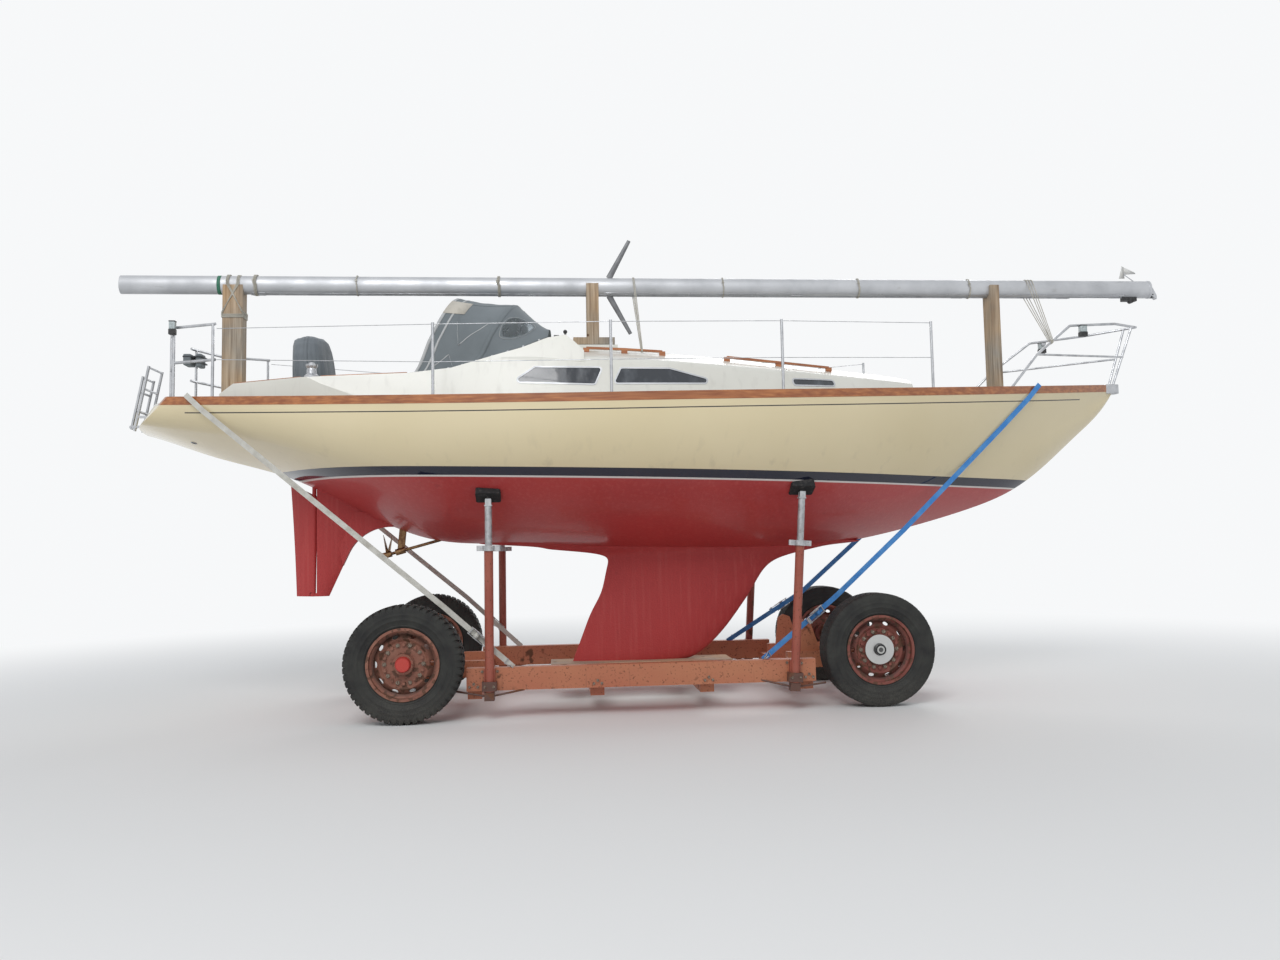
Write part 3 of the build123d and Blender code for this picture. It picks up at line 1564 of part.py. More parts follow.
# Cradle posts: each stands on a foot plate outside the side beam and may lean fore and aft
hull_shape = hull_whole.part
posts_at = []
for x, lean in post_table:
    for side in (-1, 1):
        upward = (math.sin(math.radians(lean)), 0, math.cos(math.radians(lean)))
        base = Plane(origin=(x, side * post_y, 0), x_dir=(upward[2], 0, -upward[0]), z_dir=upward)
        touches = hull_shape.find_intersection_points(Axis(base.origin, base.z_dir))
        reach = min((point - base.origin).length for point, _ in touches)
        posts_at.append((base, side, reach))
with BuildPart() as posts:
    for base, side, reach in posts_at:
        with BuildSketch(base.offset(post_foot)):
            Circle(post_radius)
            Circle(post_inner_radius + seat_gap, mode=Mode.SUBTRACT)
        extrude(amount=post_collar_height - post_foot)
        with BuildSketch(base.offset(beam_low)):
            with Locations((0, side * (beam_outer - post_y) / 2)):
                Rectangle(90, post_y - beam_outer)
        extrude(amount=beam_high - beam_low)
        with BuildSketch(base.offset(beam_low)):
            Circle(post_inner_radius + seat_gap)
        extrude(amount=beam_high - beam_low + 200, mode=Mode.SUBTRACT)
        with BuildSketch(base.offset(beam_low)):
            Circle(post_radius + 10)
        extrude(amount=12)
label(posts, "cradle_posts")

# Screw jacks: inner tube, collar nut with two handle lugs, and a clevis that holds the pad
clevis_drop = 120
clevis_pin = 9
with BuildPart() as jacks:
    for base, side, reach in posts_at:
        with BuildSketch(base.offset(post_collar_height - 300)):
            Circle(post_inner_radius)
        extrude(amount=reach - clevis_drop - post_collar_height + 300)
        with BuildSketch(base.offset(post_collar_height + seat_gap)):
            Circle(post_radius + 14)
            SlotOverall(200, 26)
        extrude(amount=46)
        with BuildSketch(base.offset(reach - clevis_drop)):
            Rectangle(64, 64)
        extrude(amount=10)
        with BuildSketch(base.offset(reach - clevis_drop)):
            for y in (-27, 27):
                with Locations((0, y)):
                    Rectangle(50, 10)
        extrude(amount=62)
        pin_start = base.origin + base.z_dir * (reach - clevis_drop + 40) + base.y_dir * 36
        with BuildSketch(Plane(origin=pin_start, x_dir=base.x_dir, z_dir=-base.y_dir)):
            Circle(clevis_pin)
        extrude(amount=72)
label(jacks, "cradle_jacks")

with BuildPart() as pads:
    for base, side, reach in posts_at:
        face = base.origin + base.z_dir * (reach - 50 + seat_gap)
        with BuildSketch(Plane(origin=face, x_dir=base.x_dir, z_dir=(0, -side * 0.55, 1))):
            RectangleRounded(pad_length, pad_width, 20)
        extrude(amount=90)
        with BuildSketch(base.offset(reach - clevis_drop + 20)):
            Rectangle(36, 40)
        extrude(amount=clevis_drop - 50)
    add(hull_whole.part, mode=Mode.SUBTRACT)
    add(jacks.part, mode=Mode.SUBTRACT)
label(pads, "cradle_pads")


strap_off = 34


def beside_hull(x, z, side):
    """A point just clear of the topsides."""
    touches = hull_shape.find_intersection_points(Axis((x, 0, z), (0, side, 0)))
    return (x, side * (max(abs(point.Y) for point, _ in touches) + strap_off), z)


# Lashing straps: over the toe rail, down past the topsides and in to the side beam.
# Places on the topsides, then the run below them with its distance from the centreline.
strap_table = (
    (((-4142, 2775), (-3990, 2634)), ((-1973, 980, 940), (-1410, 912, beam_high - 4))),
    (
        ((3523, 2882), (3386, 2740), (3100, 2458)),
        ((2161, 560, 1532), (1482, 600, 935), (740, 880, beam_high - 4)),
    ),
)
strap_width = 46
strap_thickness = 4
with BuildPart() as lashing_straps:
    for on_hull, below in strap_table:
        for side in (-1, 1):
            run = [(x, side * (half_beam(x) + strap_off), z) for x, z in on_hull[:1]]
            run += [beside_hull(x, z, side) for x, z in on_hull[1:]]
            run += [(x, side * y, z) for x, y, z in below]
            add(flat_strap(run, strap_width, strap_thickness))
    add(trailer_frame.part, mode=Mode.SUBTRACT)
label(lashing_straps, "lashing_straps")
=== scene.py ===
from math import atan2, copysign, cos, pi, radians, sin

import bmesh
import bpy
from mathutils import Matrix, Vector


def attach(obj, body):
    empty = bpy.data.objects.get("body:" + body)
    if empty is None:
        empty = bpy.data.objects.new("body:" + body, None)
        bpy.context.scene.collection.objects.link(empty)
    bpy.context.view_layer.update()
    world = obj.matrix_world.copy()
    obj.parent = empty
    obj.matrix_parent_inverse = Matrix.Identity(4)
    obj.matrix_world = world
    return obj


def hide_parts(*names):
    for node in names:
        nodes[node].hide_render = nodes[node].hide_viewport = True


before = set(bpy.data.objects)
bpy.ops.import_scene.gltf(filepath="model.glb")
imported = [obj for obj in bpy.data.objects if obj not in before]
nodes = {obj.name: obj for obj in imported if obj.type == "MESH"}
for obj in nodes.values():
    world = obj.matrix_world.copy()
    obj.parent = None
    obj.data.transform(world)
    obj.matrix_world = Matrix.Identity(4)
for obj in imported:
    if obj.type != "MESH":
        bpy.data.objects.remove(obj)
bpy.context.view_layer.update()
scene = bpy.context.scene

# Camera: on the trailer's near side, 9.2 m off the middle of the boat and at eye height. It looks
# slightly forward and up, and is held a touch off level.
camera_place = Vector((-1.03, -9.2, 1.39))
camera_yaw, camera_pitch, camera_roll = radians(5.0), radians(4.2), radians(1.08)
look = Vector((sin(camera_yaw) * cos(camera_pitch), cos(camera_yaw) * cos(camera_pitch), sin(camera_pitch)))
level_right = Vector((cos(camera_yaw), -sin(camera_yaw), 0))
level_up = level_right.cross(look)
camera_right = cos(camera_roll) * level_right - sin(camera_roll) * level_up
camera_up = sin(camera_roll) * level_right + cos(camera_roll) * level_up
camera_data = bpy.data.cameras.new("camera")
camera_data.sensor_width = 36
camera_data.lens = 27
camera_data.clip_end = 200
camera = bpy.data.objects.new("camera", camera_data)
scene.collection.objects.link(camera)
camera_turn = Matrix((camera_right, camera_up, -look)).transposed()
camera.matrix_world = Matrix.Translation(camera_place) @ camera_turn.to_4x4()
scene.camera = camera
scene.view_settings.view_transform = "Standard"


# Studio: a pale floor under the wheels that fades into a soft white surround, and two large soft
# lamps, one high at the camera's side and one weaker from the far side.
class Share:
    """A number or colour that changes over a surface. A sum of shares is a further node."""

    def __init__(self, socket):
        self.socket = socket
        self.tree = socket.id_data

    def sum(self, operation, first, second=0.0):
        """One sum of two shares or numbers."""
        node = self.tree.nodes.new("ShaderNodeMath")
        node.operation = operation
        feed(node.inputs[0], first)
        feed(node.inputs[1], second)
        return Share(node.outputs[0])

    def __add__(self, other):
        return self.sum("ADD", self, other)

    def __sub__(self, other):
        return self.sum("SUBTRACT", self, other)

    def __rsub__(self, other):
        return self.sum("SUBTRACT", other, self)

    def __mul__(self, other):
        return self.sum("MULTIPLY", self, other)

    __radd__, __rmul__ = __add__, __mul__

    def __abs__(self):
        return self.sum("ABSOLUTE", self)

    def most(self, other):
        """The larger of two."""
        return self.sum("MAXIMUM", self, other)

    def sine(self):
        """Waves from -1 to 1, one for each 2 pi."""
        return self.sum("SINE", self)

    def root(self):
        """The square root."""
        return self.sum("SQRT", self)


def feed(socket, value):
    """Link an input to a share, or set its number or colour."""
    if isinstance(value, Share):
        value.tree.links.new(value.socket, socket)
    elif isinstance(value, tuple):
        socket.default_value = (*value, 1)
    else:
        socket.default_value = value


def fade(share, low, high, eased=False):
    """0 at low, 1 at high, straight between them or eased at both ends."""
    node = share.tree.nodes.new("ShaderNodeMapRange")
    if eased:
        node.interpolation_type = "SMOOTHSTEP"
    feed(node.inputs["Value"], share)
    node.inputs["From Min"].default_value = low
    node.inputs["From Max"].default_value = high
    return Share(node.outputs["Result"])


def tint(share, first, second):
    """One colour laid over another by a share from 0 to 1."""
    mix = share.tree.nodes.new("ShaderNodeMix")
    mix.data_type = "RGBA"
    feed(mix.inputs[0], share)
    feed(mix.inputs[6], first)
    feed(mix.inputs[7], second)
    return Share(mix.outputs[2])


class Finish:
    """A surface finish: its material and shader, and patterns that lie still on the object."""

    def __init__(self, name, roughness, metallic=0.0, slot=None):
        self.material = bpy.data.materials.new(name)
        self.material.use_nodes = True
        self.slot = slot
        self.tree = self.material.node_tree
        self.shader = self.tree.nodes["Principled BSDF"]
        self.place = self.tree.nodes.new("ShaderNodeTexCoord").outputs["Object"]
        self.set("Roughness", roughness)
        self.set("Metallic", metallic)

    def set(self, label, value):
        """Give one of the shader's inputs a number, a colour or a share."""
        feed(self.shader.inputs[label], value)

    def parts(self, vector):
        """The three parts of a vector."""
        split = self.tree.nodes.new("ShaderNodeSeparateXYZ")
        self.tree.links.new(vector, split.inputs[0])
        return [Share(part) for part in split.outputs]

    def axes(self):
        """The three coordinates of a point on the object."""
        return self.parts(self.place)

    def upwards(self):
        """How far each face looks up, from -1 to 1."""
        return self.parts(self.tree.nodes.new("ShaderNodeNewGeometry").outputs["Normal"])[2]

    def spots(self, scale, detail=4.0, stretch=(1, 1, 1)):
        """Cloudy noise from 0 to 1, of so many spots to the metre, stretched along each axis."""
        mapping = self.tree.nodes.new("ShaderNodeMapping")
        mapping.inputs["Scale"].default_value = stretch
        self.tree.links.new(self.place, mapping.inputs["Vector"])
        noise = self.tree.nodes.new("ShaderNodeTexNoise")
        noise.inputs["Scale"].default_value = scale
        noise.inputs["Detail"].default_value = detail
        self.tree.links.new(mapping.outputs[0], noise.inputs["Vector"])
        return Share(noise.outputs["Fac"])

    def mottle(self, spots, ends, first, second):
        """Two colours in cloudy patches. Gives back the share of the second."""
        patches = fade(self.spots(*spots), *ends)
        self.set("Base Color", tint(patches, first, second))
        return patches

    def relief(self, height, depth, strength):
        """Bumps of a depth in metres."""
        bump = self.tree.nodes.new("ShaderNodeBump")
        bump.inputs["Distance"].default_value = depth
        bump.inputs["Strength"].default_value = strength
        feed(bump.inputs["Height"], height)
        self.tree.links.new(bump.outputs[0], self.shader.inputs["Normal"])


def show_through(tree, plain, seen, share, target):
    """A shader that rays from the camera, through glass or off metal see as another one, by a share."""
    rays = tree.nodes.new("ShaderNodeLightPath").outputs
    kinds = ("Camera", "Transmission", "Glossy")
    camera_ray, glass_ray, metal_ray = (Share(rays[f"Is {kind} Ray"]) for kind in kinds)
    mix = tree.nodes.new("ShaderNodeMixShader")
    feed(mix.inputs["Fac"], camera_ray.most(glass_ray).most(metal_ray) * share)
    tree.links.new(plain.outputs[0], mix.inputs[1])
    tree.links.new(seen.outputs[0], mix.inputs[2])
    tree.links.new(mix.outputs[0], target)


surround_colour = (0.93, 0.94, 0.95)
floor_half = 60
floor_fades = (5.0, 13.0)
floor_mesh = bpy.data.meshes.new("floor")
floor_corners = [(x * floor_half, y * floor_half, 0) for x, y in ((-1, -1), (1, -1), (1, 1), (-1, 1))]
floor_mesh.from_pydata(floor_corners, [], [(0, 1, 2, 3)])
floor = bpy.data.objects.new("floor", floor_mesh)
scene.collection.objects.link(floor)
floor_paint = Finish("floor_paint", 0.85)
floor_paint.set("Base Color", (0.78, 0.78, 0.77))
floor_tree = floor_paint.tree
far_glow = floor_tree.nodes.new("ShaderNodeEmission")
feed(far_glow.inputs["Color"], surround_colour)
from_middle = floor_tree.nodes.new("ShaderNodeVectorMath")
from_middle.operation = "LENGTH"
floor_tree.links.new(floor_paint.place, from_middle.inputs[0])
far_off = fade(Share(from_middle.outputs["Value"]), *floor_fades, eased=True)
floor_surface = floor_tree.nodes["Material Output"].inputs["Surface"]
show_through(floor_tree, floor_paint.shader, far_glow, far_off, floor_surface)
floor_mesh.materials.append(floor_paint.material)

world = bpy.data.worlds.new("surround")
scene.world = world
world.use_nodes = True
world_tree = world.node_tree
world_tree.nodes.clear()
skies = []
for colour, strength in (((0.90, 0.94, 1.0), 0.55), (surround_colour, 1.0)):
    sky = world_tree.nodes.new("ShaderNodeBackground")
    feed(sky.inputs["Color"], colour)
    sky.inputs["Strength"].default_value = strength
    skies.append(sky)
world_out = world_tree.nodes.new("ShaderNodeOutputWorld")
show_through(world_tree, *skies, 1.0, world_out.inputs["Surface"])

# Place, aim, width and power of each lamp
for name, place, aim, width, power in (
    ("key_lamp", (-4.5, -14, 13), (-0.2, 0, 1.8), 8, 1340),
    ("far_lamp", (6, 11, 10), (0, 0, 2.0), 8, 640),
):
    lamp_data = bpy.data.lights.new(name, "AREA")
    lamp_data.size = width
    lamp_data.energy = power
    lamp = bpy.data.objects.new(name, lamp_data)
    scene.collection.objects.link(lamp)
    lamp.location = place
    lamp.rotation_euler = (Vector(aim) - Vector(place)).to_track_quat("-Z", "Y").to_euler()


# Hull: a moulded shell. Cream gelcoat topsides with a thin dark cove line, a navy boot stripe with
# a white one under it, and red antifouling below, chalky and streaked where water has run off it.
def dress(finish, *names):
    """Give CAD nodes their finish."""
    for name in names:
        for slot in nodes[name].material_slots:
            slot.material = finish.material


def along_hull(x, level, slope, curve):
    """A height that changes along the boat."""
    return x * x * curve + x * slope + level


def antifouling(finish):
    """Old red bottom paint: pale chalky runs, dark scuffs and faded clouds."""
    clouds = fade(finish.spots(1.1, 5), 0.35, 0.75)
    runs = fade(finish.spots(3.2, 6, (9, 9, 0.35)), 0.50, 0.78)
    scuffs = fade(finish.spots(14, 8, (1, 1, 0.6)), 0.66, 0.80)
    aged = tint(clouds * 0.45, (0.46, 0.042, 0.040), (0.33, 0.026, 0.030))
    chalked = tint(runs * 0.34, aged, (0.560, 0.110, 0.095))
    return tint(scuffs * 0.35, chalked, (0.20, 0.018, 0.020))


sheer_low_x, sheer_low_z = -1.0, 2.606
sheer_curve_aft, sheer_curve_fore = 0.008771, 0.009534
cove_below = 0.064
cove_half = 0.0045
cove_aft, cove_fore = -4.17, 4.12
white_line_width = 0.0138
edge_blur = 0.0008
hull_paint = Finish("hull_paint", 0.24)
hull_paint.set("Coat Weight", 0.35)
hull_paint.set("Coat Roughness", 0.12)
x, _, z = hull_paint.axes()
from_low = x - sheer_low_x
is_fore = fade(x, sheer_low_x - 0.001, sheer_low_x + 0.001)
sheer_curve = is_fore * (sheer_curve_fore - sheer_curve_aft) + sheer_curve_aft
sheer = from_low * from_low * sheer_curve + sheer_low_z
cove = fade(abs(sheer - z - cove_below), cove_half + edge_blur, cove_half - edge_blur)
cove = cove * fade(x, cove_aft - 0.001, cove_aft + 0.001) * fade(x, cove_fore + 0.001, cove_fore - 0.001)
above_top = z - along_hull(x, 2.0649, -0.02165, 0.002202)
above_low = z - along_hull(x, 1.9973, -0.02270, 0.001789)
yellowing = fade(hull_paint.spots(0.8, 3), 0.3, 0.8)
cream = tint(yellowing, (0.775, 0.665, 0.430), (0.715, 0.605, 0.370))
grime = fade(hull_paint.spots(5.0, 7, (2.2, 2.2, 0.25)), 0.58, 0.85)
low_down = fade(z, 2.45, 2.05)
cream = tint(grime * low_down * 0.5, cream, (0.42, 0.36, 0.25))
topsides = tint(cove, cream, (0.020, 0.020, 0.028))
navy = tint(hull_paint.spots(6), (0.006, 0.008, 0.022), (0.014, 0.016, 0.036))
under_line = fade(above_low, -white_line_width - 0.0007, -white_line_width + 0.0008)
bottom = tint(under_line, antifouling(hull_paint), (0.70, 0.66, 0.62))
stripe = tint(fade(above_low, -edge_blur, edge_blur), bottom, navy)
hull_paint.set("Base Color", tint(fade(above_top, -edge_blur, edge_blur), stripe, topsides))
painted = fade(above_low, 0.0, -0.01)
hull_paint.set("Roughness", painted * 0.42 + grime * 0.10)
hull_paint.relief(hull_paint.spots(90, 6) * painted, 0.004, 0.5)
dress(hull_paint, "hull")

# Keel, skeg and rudder: cast and moulded fins in the same antifouling, rougher, with the rolled
# paint worn thin at the edges.
fin_paint = Finish("fin_paint", 0.62)
fin_paint.set("Base Color", antifouling(fin_paint))
fin_paint.relief(fin_paint.spots(70, 8), 0.005, 0.5)
dress(fin_paint, "keel_fin", "skeg", "rudder")

# Propeller, shaft and bracket: cast bronze under the hull, gone brown, with bright patches where it
# was rubbed.
bronze = Finish("old_bronze", 0.38, 1.0)
worn = bronze.mottle((22, 6), (0.45, 0.70), (0.16, 0.085, 0.045), (0.50, 0.33, 0.17))
bronze.set("Roughness", fade(worn, -1.2, 1.6))
bronze.relief(bronze.spots(160, 6), 0.0015, 0.5)
dress(bronze, "propeller", "shaft_bracket")

# Toe rails, grab rails and washboard: varnished teak planks screwed down, with dark streaks along
# the grain, and a painted highlight: lighter on the faces that look up, where the grain is pale.
teak = Finish("teak", 0.34, slot="teak")
teak.set("Coat Weight", 0.4)
teak.set("Coat Roughness", 0.22)
grain = teak.spots(30, 9, (0.10, 1.6, 1.6))
streaks = fade(teak.spots(9, 8, (0.12, 2.4, 2.4)), 0.38, 0.66)
wood = tint(fade(grain, 0.34, 0.68), (0.300, 0.088, 0.024), (0.510, 0.195, 0.064))
wood = tint(streaks * 0.45, wood, (0.180, 0.050, 0.020))
# Painted highlight: the faces that look up are lightened where the grain is pale.
top_highlight = fade(teak.upwards(), 0.55, 0.95) * fade(grain, 0.2, 0.6)
teak.set("Base Color", tint(top_highlight * 0.6, wood, (0.56, 0.36, 0.24)))
teak.relief(grain, 0.0012, 0.6)
dress(teak, "toe_rails", "handrails", "washboard")

# Deck, cockpit, coachroof and coamings: white gelcoat, chalky with age, with sanded non-slip panels
# on the level parts and dirt in the corners.
gelcoat = Finish("deck_gelcoat", 0.36)
gelcoat.set("Coat Weight", 0.15)
clouds = fade(gelcoat.spots(1.6, 6), 0.35, 0.75)
runs = fade(gelcoat.spots(6.0, 7, (2.6, 2.6, 0.4)), 0.56, 0.82)
white = tint(clouds, (0.765, 0.755, 0.690), (0.690, 0.680, 0.615))
white = tint(runs * 0.30, white, (0.42, 0.40, 0.36))
level = fade(gelcoat.upwards(), 0.965, 0.985)
dusty = level * fade(gelcoat.spots(3.1, 6), 0.25, 0.75)
gelcoat.set("Base Color", tint(dusty * 0.55, white, (0.52, 0.52, 0.49)))
gelcoat.set("Roughness", level * 0.30 + runs * 0.15 + 0.30)
gelcoat.relief(gelcoat.spots(420, 2) * level, 0.0018, 0.6)
dress(
    gelcoat, "deck", "cockpit_liner", "coachroof", "hatch_garage", "sliding_hatch", "forehatch_coaming",
    "coamings", "roof_vent", "steering_pedestal",
)

# Windows and forehatch: dark acrylic panes in light alloy frames, bedded in sealant and smeared by
# rain.
pane_glass = Finish("window_acrylic", 0.07)
pane_glass.set("Coat Weight", 0.6)
smear = pane_glass.mottle((9, 7, (1, 1, 0.5)), (0.45, 0.80), (0.018, 0.024, 0.034), (0.070, 0.082, 0.098))
pane_glass.set("Roughness", fade(smear, -0.25, 3.0))
dress(pane_glass, "window_panes", "forehatch")

# Alloy: the mast, its head and the window frames are extrusions, anodised and dulled, with fine
# lines along them where they were drawn through the die.
alloy = Finish("anodised_alloy", 0.42, 0.55, slot="alloy")
dull = fade(alloy.spots(4, 8), 0.35, 0.75)
stain = fade(alloy.spots(11, 8, (0.6, 2, 2)), 0.66, 0.84)
silver = tint(dull, (0.57, 0.58, 0.60), (0.43, 0.44, 0.46))
alloy.set("Base Color", tint(stain * 0.6, silver, (0.28, 0.27, 0.25)))
alloy.set("Roughness", fade(dull, -1.4, 2.6))
alloy.relief(alloy.spots(60, 6, (0.05, 3, 3)), 0.0006, 0.4)
dress(alloy, "mast", "masthead_fitting", "window_frames", "hatch_runners")

# Spreaders: flattened tubes pinned to the mast's sides, anodised black once and now a chalky grey.
dark_alloy = Finish("dark_anodised_alloy", 0.50, 0.35)
dark_alloy.mottle((7, 8), (0.35, 0.75), (0.115, 0.118, 0.125), (0.235, 0.238, 0.245))
dark_alloy.relief(dark_alloy.spots(160, 5), 0.0005, 0.4)
dress(dark_alloy, "spreaders")

# Stainless tube and wire: pulpit, pushpit, stanchions, ladder and deck fittings, polished once and
# now tea-stained at the feet.
stainless = Finish("stainless_tube", 0.22, 1.0, slot="stainless")
haze = fade(stainless.spots(14, 7), 0.35, 0.75)
tea = fade(stainless.spots(26, 8), 0.64, 0.82)
steel = tint(haze, (0.56, 0.57, 0.59), (0.36, 0.37, 0.39))
stainless.set("Base Color", tint(tea * 0.6, steel, (0.26, 0.18, 0.11)))
stainless.set("Roughness", fade(haze, -0.9, 2.8))
stainless.relief(stainless.spots(220, 4), 0.0003, 0.3)
dress(
    stainless, "stanchions", "pulpit", "pushpit", "guard_wires", "ladder_fixed", "ladder_fold", "stemhead",
    "winches", "cleats",
)


# Trailer steel: side beams, axles and rails in faded red oxide, brushed on long ago; the posts are
# darker. Rust breaks through in patches, runs down from the joints and gathers on level faces.
def old_paint(name, fresh, faded, rust_share):
    """Brushed paint over steel, with rust coming through it."""
    finish = Finish(name, 0.62, slot="red_oxide")
    colour = tint(fade(finish.spots(2.4, 6, (0.5, 1, 1)), 0.30, 0.72), fresh, faded)
    blotches = fade(finish.spots(7.5, 9), 0.74 - rust_share, 0.80 - rust_share)
    freckles = fade(finish.spots(60, 6), 0.60, 0.68)
    runs = fade(finish.spots(9, 6, (3, 3, 0.3)), 0.60, 0.80)
    rust = tint(finish.spots(34, 7), (0.055, 0.022, 0.013), (0.21, 0.080, 0.034))
    colour = tint(runs * 0.45, colour, (0.12, 0.045, 0.025))
    eaten = blotches.most(freckles * 0.8)
    finish.set("Base Color", tint(eaten, colour, rust))
    finish.set("Roughness", eaten * 0.28 + 0.48)
    finish.relief(finish.spots(240, 5) * 0.5 - eaten, 0.0022, 0.6)
    return finish


beam_paint = old_paint("beam_oxide_paint", (0.430, 0.132, 0.070), (0.490, 0.200, 0.100), 0.10)
post_paint = old_paint("post_oxide_paint", (0.300, 0.066, 0.042), (0.370, 0.110, 0.070), 0.12)
axle_paint = old_paint("axle_paint", (0.085, 0.040, 0.030), (0.130, 0.062, 0.045), 0.20)
dress(beam_paint, "trailer_frame")
dress(post_paint, "cradle_posts", "drawbar", "track_rod")
dress(axle_paint, "rear_axle", "front_axle", "knuckle_left", "knuckle_right")

# Screw jacks: galvanised tube and threaded bar on top of each post, dull grey with white bloom and
# rusty where the zinc has gone.
zinc = Finish("galvanised_steel", 0.48, 0.75, slot="galvanised")
bloom = fade(zinc.spots(24, 6), 0.35, 0.70)
rusty = fade(zinc.spots(40, 7), 0.62, 0.76)
colour = tint(bloom, (0.36, 0.37, 0.38), (0.58, 0.59, 0.60))
zinc.set("Base Color", tint(rusty * 0.7, colour, (0.20, 0.10, 0.055)))
zinc.set("Roughness", fade(bloom, -1.6, 2.2))
zinc.relief(zinc.spots(180, 5), 0.0008, 0.5)
dress(zinc, "cradle_jacks")

# Cradle pads: black ribbed rubber bolted to a plate on each jack, scuffed grey and smeared with
# bottom paint.
pad_rubber = Finish("pad_rubber", 0.82)
pad_rubber.mottle((30, 8), (0.52, 0.74), (0.012, 0.012, 0.013), (0.060, 0.055, 0.052))
pad_rubber.relief(pad_rubber.spots(300, 4), 0.001, 0.6)
dress(pad_rubber, "cradle_pads")

# Timber: the keel planks and the props that carry the mast, rough-sawn softwood gone grey outside,
# with knots. The grain lies along the planks and stands up in the props.
timber = Finish("weathered_softwood", 0.86)
_, _, z = timber.axes()
upright = fade(z, 1.2, 1.3)
lying_grain = timber.spots(26, 9, (0.08, 2.2, 1.6))
standing_grain = timber.spots(26, 9, (2.0, 2.0, 0.08))
grain = lying_grain + upright * (standing_grain - lying_grain)
growth = fade(grain, 0.32, 0.66)
fresh = tint(growth, (0.36, 0.225, 0.120), (0.60, 0.430, 0.270))
grey = tint(growth, (0.185, 0.160, 0.130), (0.42, 0.380, 0.320))
planks = tint(fade(timber.spots(2.2, 5), 0.35, 0.70), fresh, grey)
knots = timber.tree.nodes.new("ShaderNodeTexVoronoi")
knots.inputs["Scale"].default_value = 5.0
timber.tree.links.new(timber.place, knots.inputs["Vector"])
knot = fade(Share(knots.outputs["Distance"]), 0.11, 0.07)
timber.set("Base Color", tint(knot, planks, (0.10, 0.052, 0.026)))
timber.relief(grain, 0.003, 0.7)
dress(timber, "keel_planks", "mast_props")


# Truck wheels: pressed steel discs in flaking red oxide. The front pair have a bright hub plate with
# a dark seal and a pale nut at the middle; the rear pair have a red grease cap.
def wheel_paint(name, axle_x, cap_radius, cap_from, cap_rings, base, faded):
    """Wheel paint; the caps at the middle have their own rings of colour, by radius from the axle."""
    finish = Finish(name, 0.60)
    x, y, z = finish.axes()
    across, along = x - axle_x, z - wheel_height
    radius = (across * across + along * along).root()
    colour = tint(fade(finish.spots(8, 7), 0.32, 0.70), base, faded)
    rust = tint(finish.spots(50, 7), (0.045, 0.020, 0.013), (0.165, 0.068, 0.034))
    flaked = fade(finish.spots(19, 9), 0.52, 0.60)
    colour = tint(flaked, colour, rust)
    # Painted shade: an even dark ring on the disc just inside the rim.
    rim_shade = fade(radius, 0.268, 0.255) * fade(radius, 0.195, 0.235)
    colour = tint(rim_shade * 0.55, colour, (0.030, 0.016, 0.012))
    outside = fade(abs(y), cap_from, cap_from + 0.001)
    metal = 0.0
    for ring_radius, ring_colour, ring_metal in cap_rings:
        ring = outside * fade(radius, ring_radius + 0.0006, ring_radius)
        colour = tint(ring, colour, ring_colour)
        metal = ring * ring_metal + metal * (1.0 - ring)
    capped = outside * fade(radius, cap_radius + 0.001, cap_radius)
    finish.set("Base Color", colour)
    finish.set("Metallic", metal)
    finish.set("Roughness", 0.66 - capped * 0.34)
    finish.relief(finish.spots(260, 5) * 0.5 - flaked * (1.0 - capped), 0.0018, 0.6)
    return finish


tyre_radius = 0.490
tyre_half = 0.265 / 2
wheel_height = tyre_radius
rear_axle_x, front_axle_x = -2.305, 1.764
rear_face, front_face = 1.120, 1.000
rear_wheel_paint = wheel_paint(
    "rear_wheel_paint", rear_axle_x, 0.070, rear_face - tyre_half + 0.088,
    ((0.0665, (0.420, 0.030, 0.022), 0.0), (0.050, (0.500, 0.050, 0.036), 0.0)),
    (0.210, 0.076, 0.050), (0.300, 0.135, 0.090),
)
front_wheel_paint = wheel_paint(
    "front_wheel_paint", front_axle_x, 0.1285, front_face - tyre_half + 0.068,
    (
        (0.1285, (0.58, 0.58, 0.57), 0.9), (0.0530, (0.020, 0.020, 0.022), 0.2),
        (0.0330, (0.52, 0.52, 0.50), 0.9), (0.0200, (0.10, 0.10, 0.10), 0.6),
    ),
    (0.180, 0.045, 0.034), (0.250, 0.085, 0.062),
)
dress(rear_wheel_paint, "wheel_rear_left", "wheel_rear_right")
dress(front_wheel_paint, "wheel_front_left", "wheel_front_right")


# Tyres: cross-ply truck tyres, the rear pair with deep cross-cut lugs and the front pair with worn
# ribs, both with raised rings on the walls. Each is one closed ring turned about its axle.
def circle(count):
    """Angles of so many steps round a circle."""
    return [2 * pi * n / count for n in range(count)]


def strip_faces(rows, columns, ring=False, loop=False, first=0):
    """Faces between points in rows. ring joins the ends of each row, loop the last row to the first."""
    faces = []
    for row in range(rows if loop else rows - 1):
        low, high = first + row * columns, first + (row + 1) % rows * columns
        for k in range(columns if ring else columns - 1):
            n = (k + 1) % columns
            faces.append((low + k, low + n, high + n, high + k))
    return faces


def add_piece(name, mesh, finish, body="boat_and_trailer", slot=None):
    """A finished piece: its mesh, its finish and the body it rides on; slot is not used."""
    mesh.name = name
    mesh.materials.clear()
    mesh.materials.append(finish.material)
    piece = bpy.data.objects.new(name, mesh)
    scene.collection.objects.link(piece)
    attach(piece, body)
    return piece


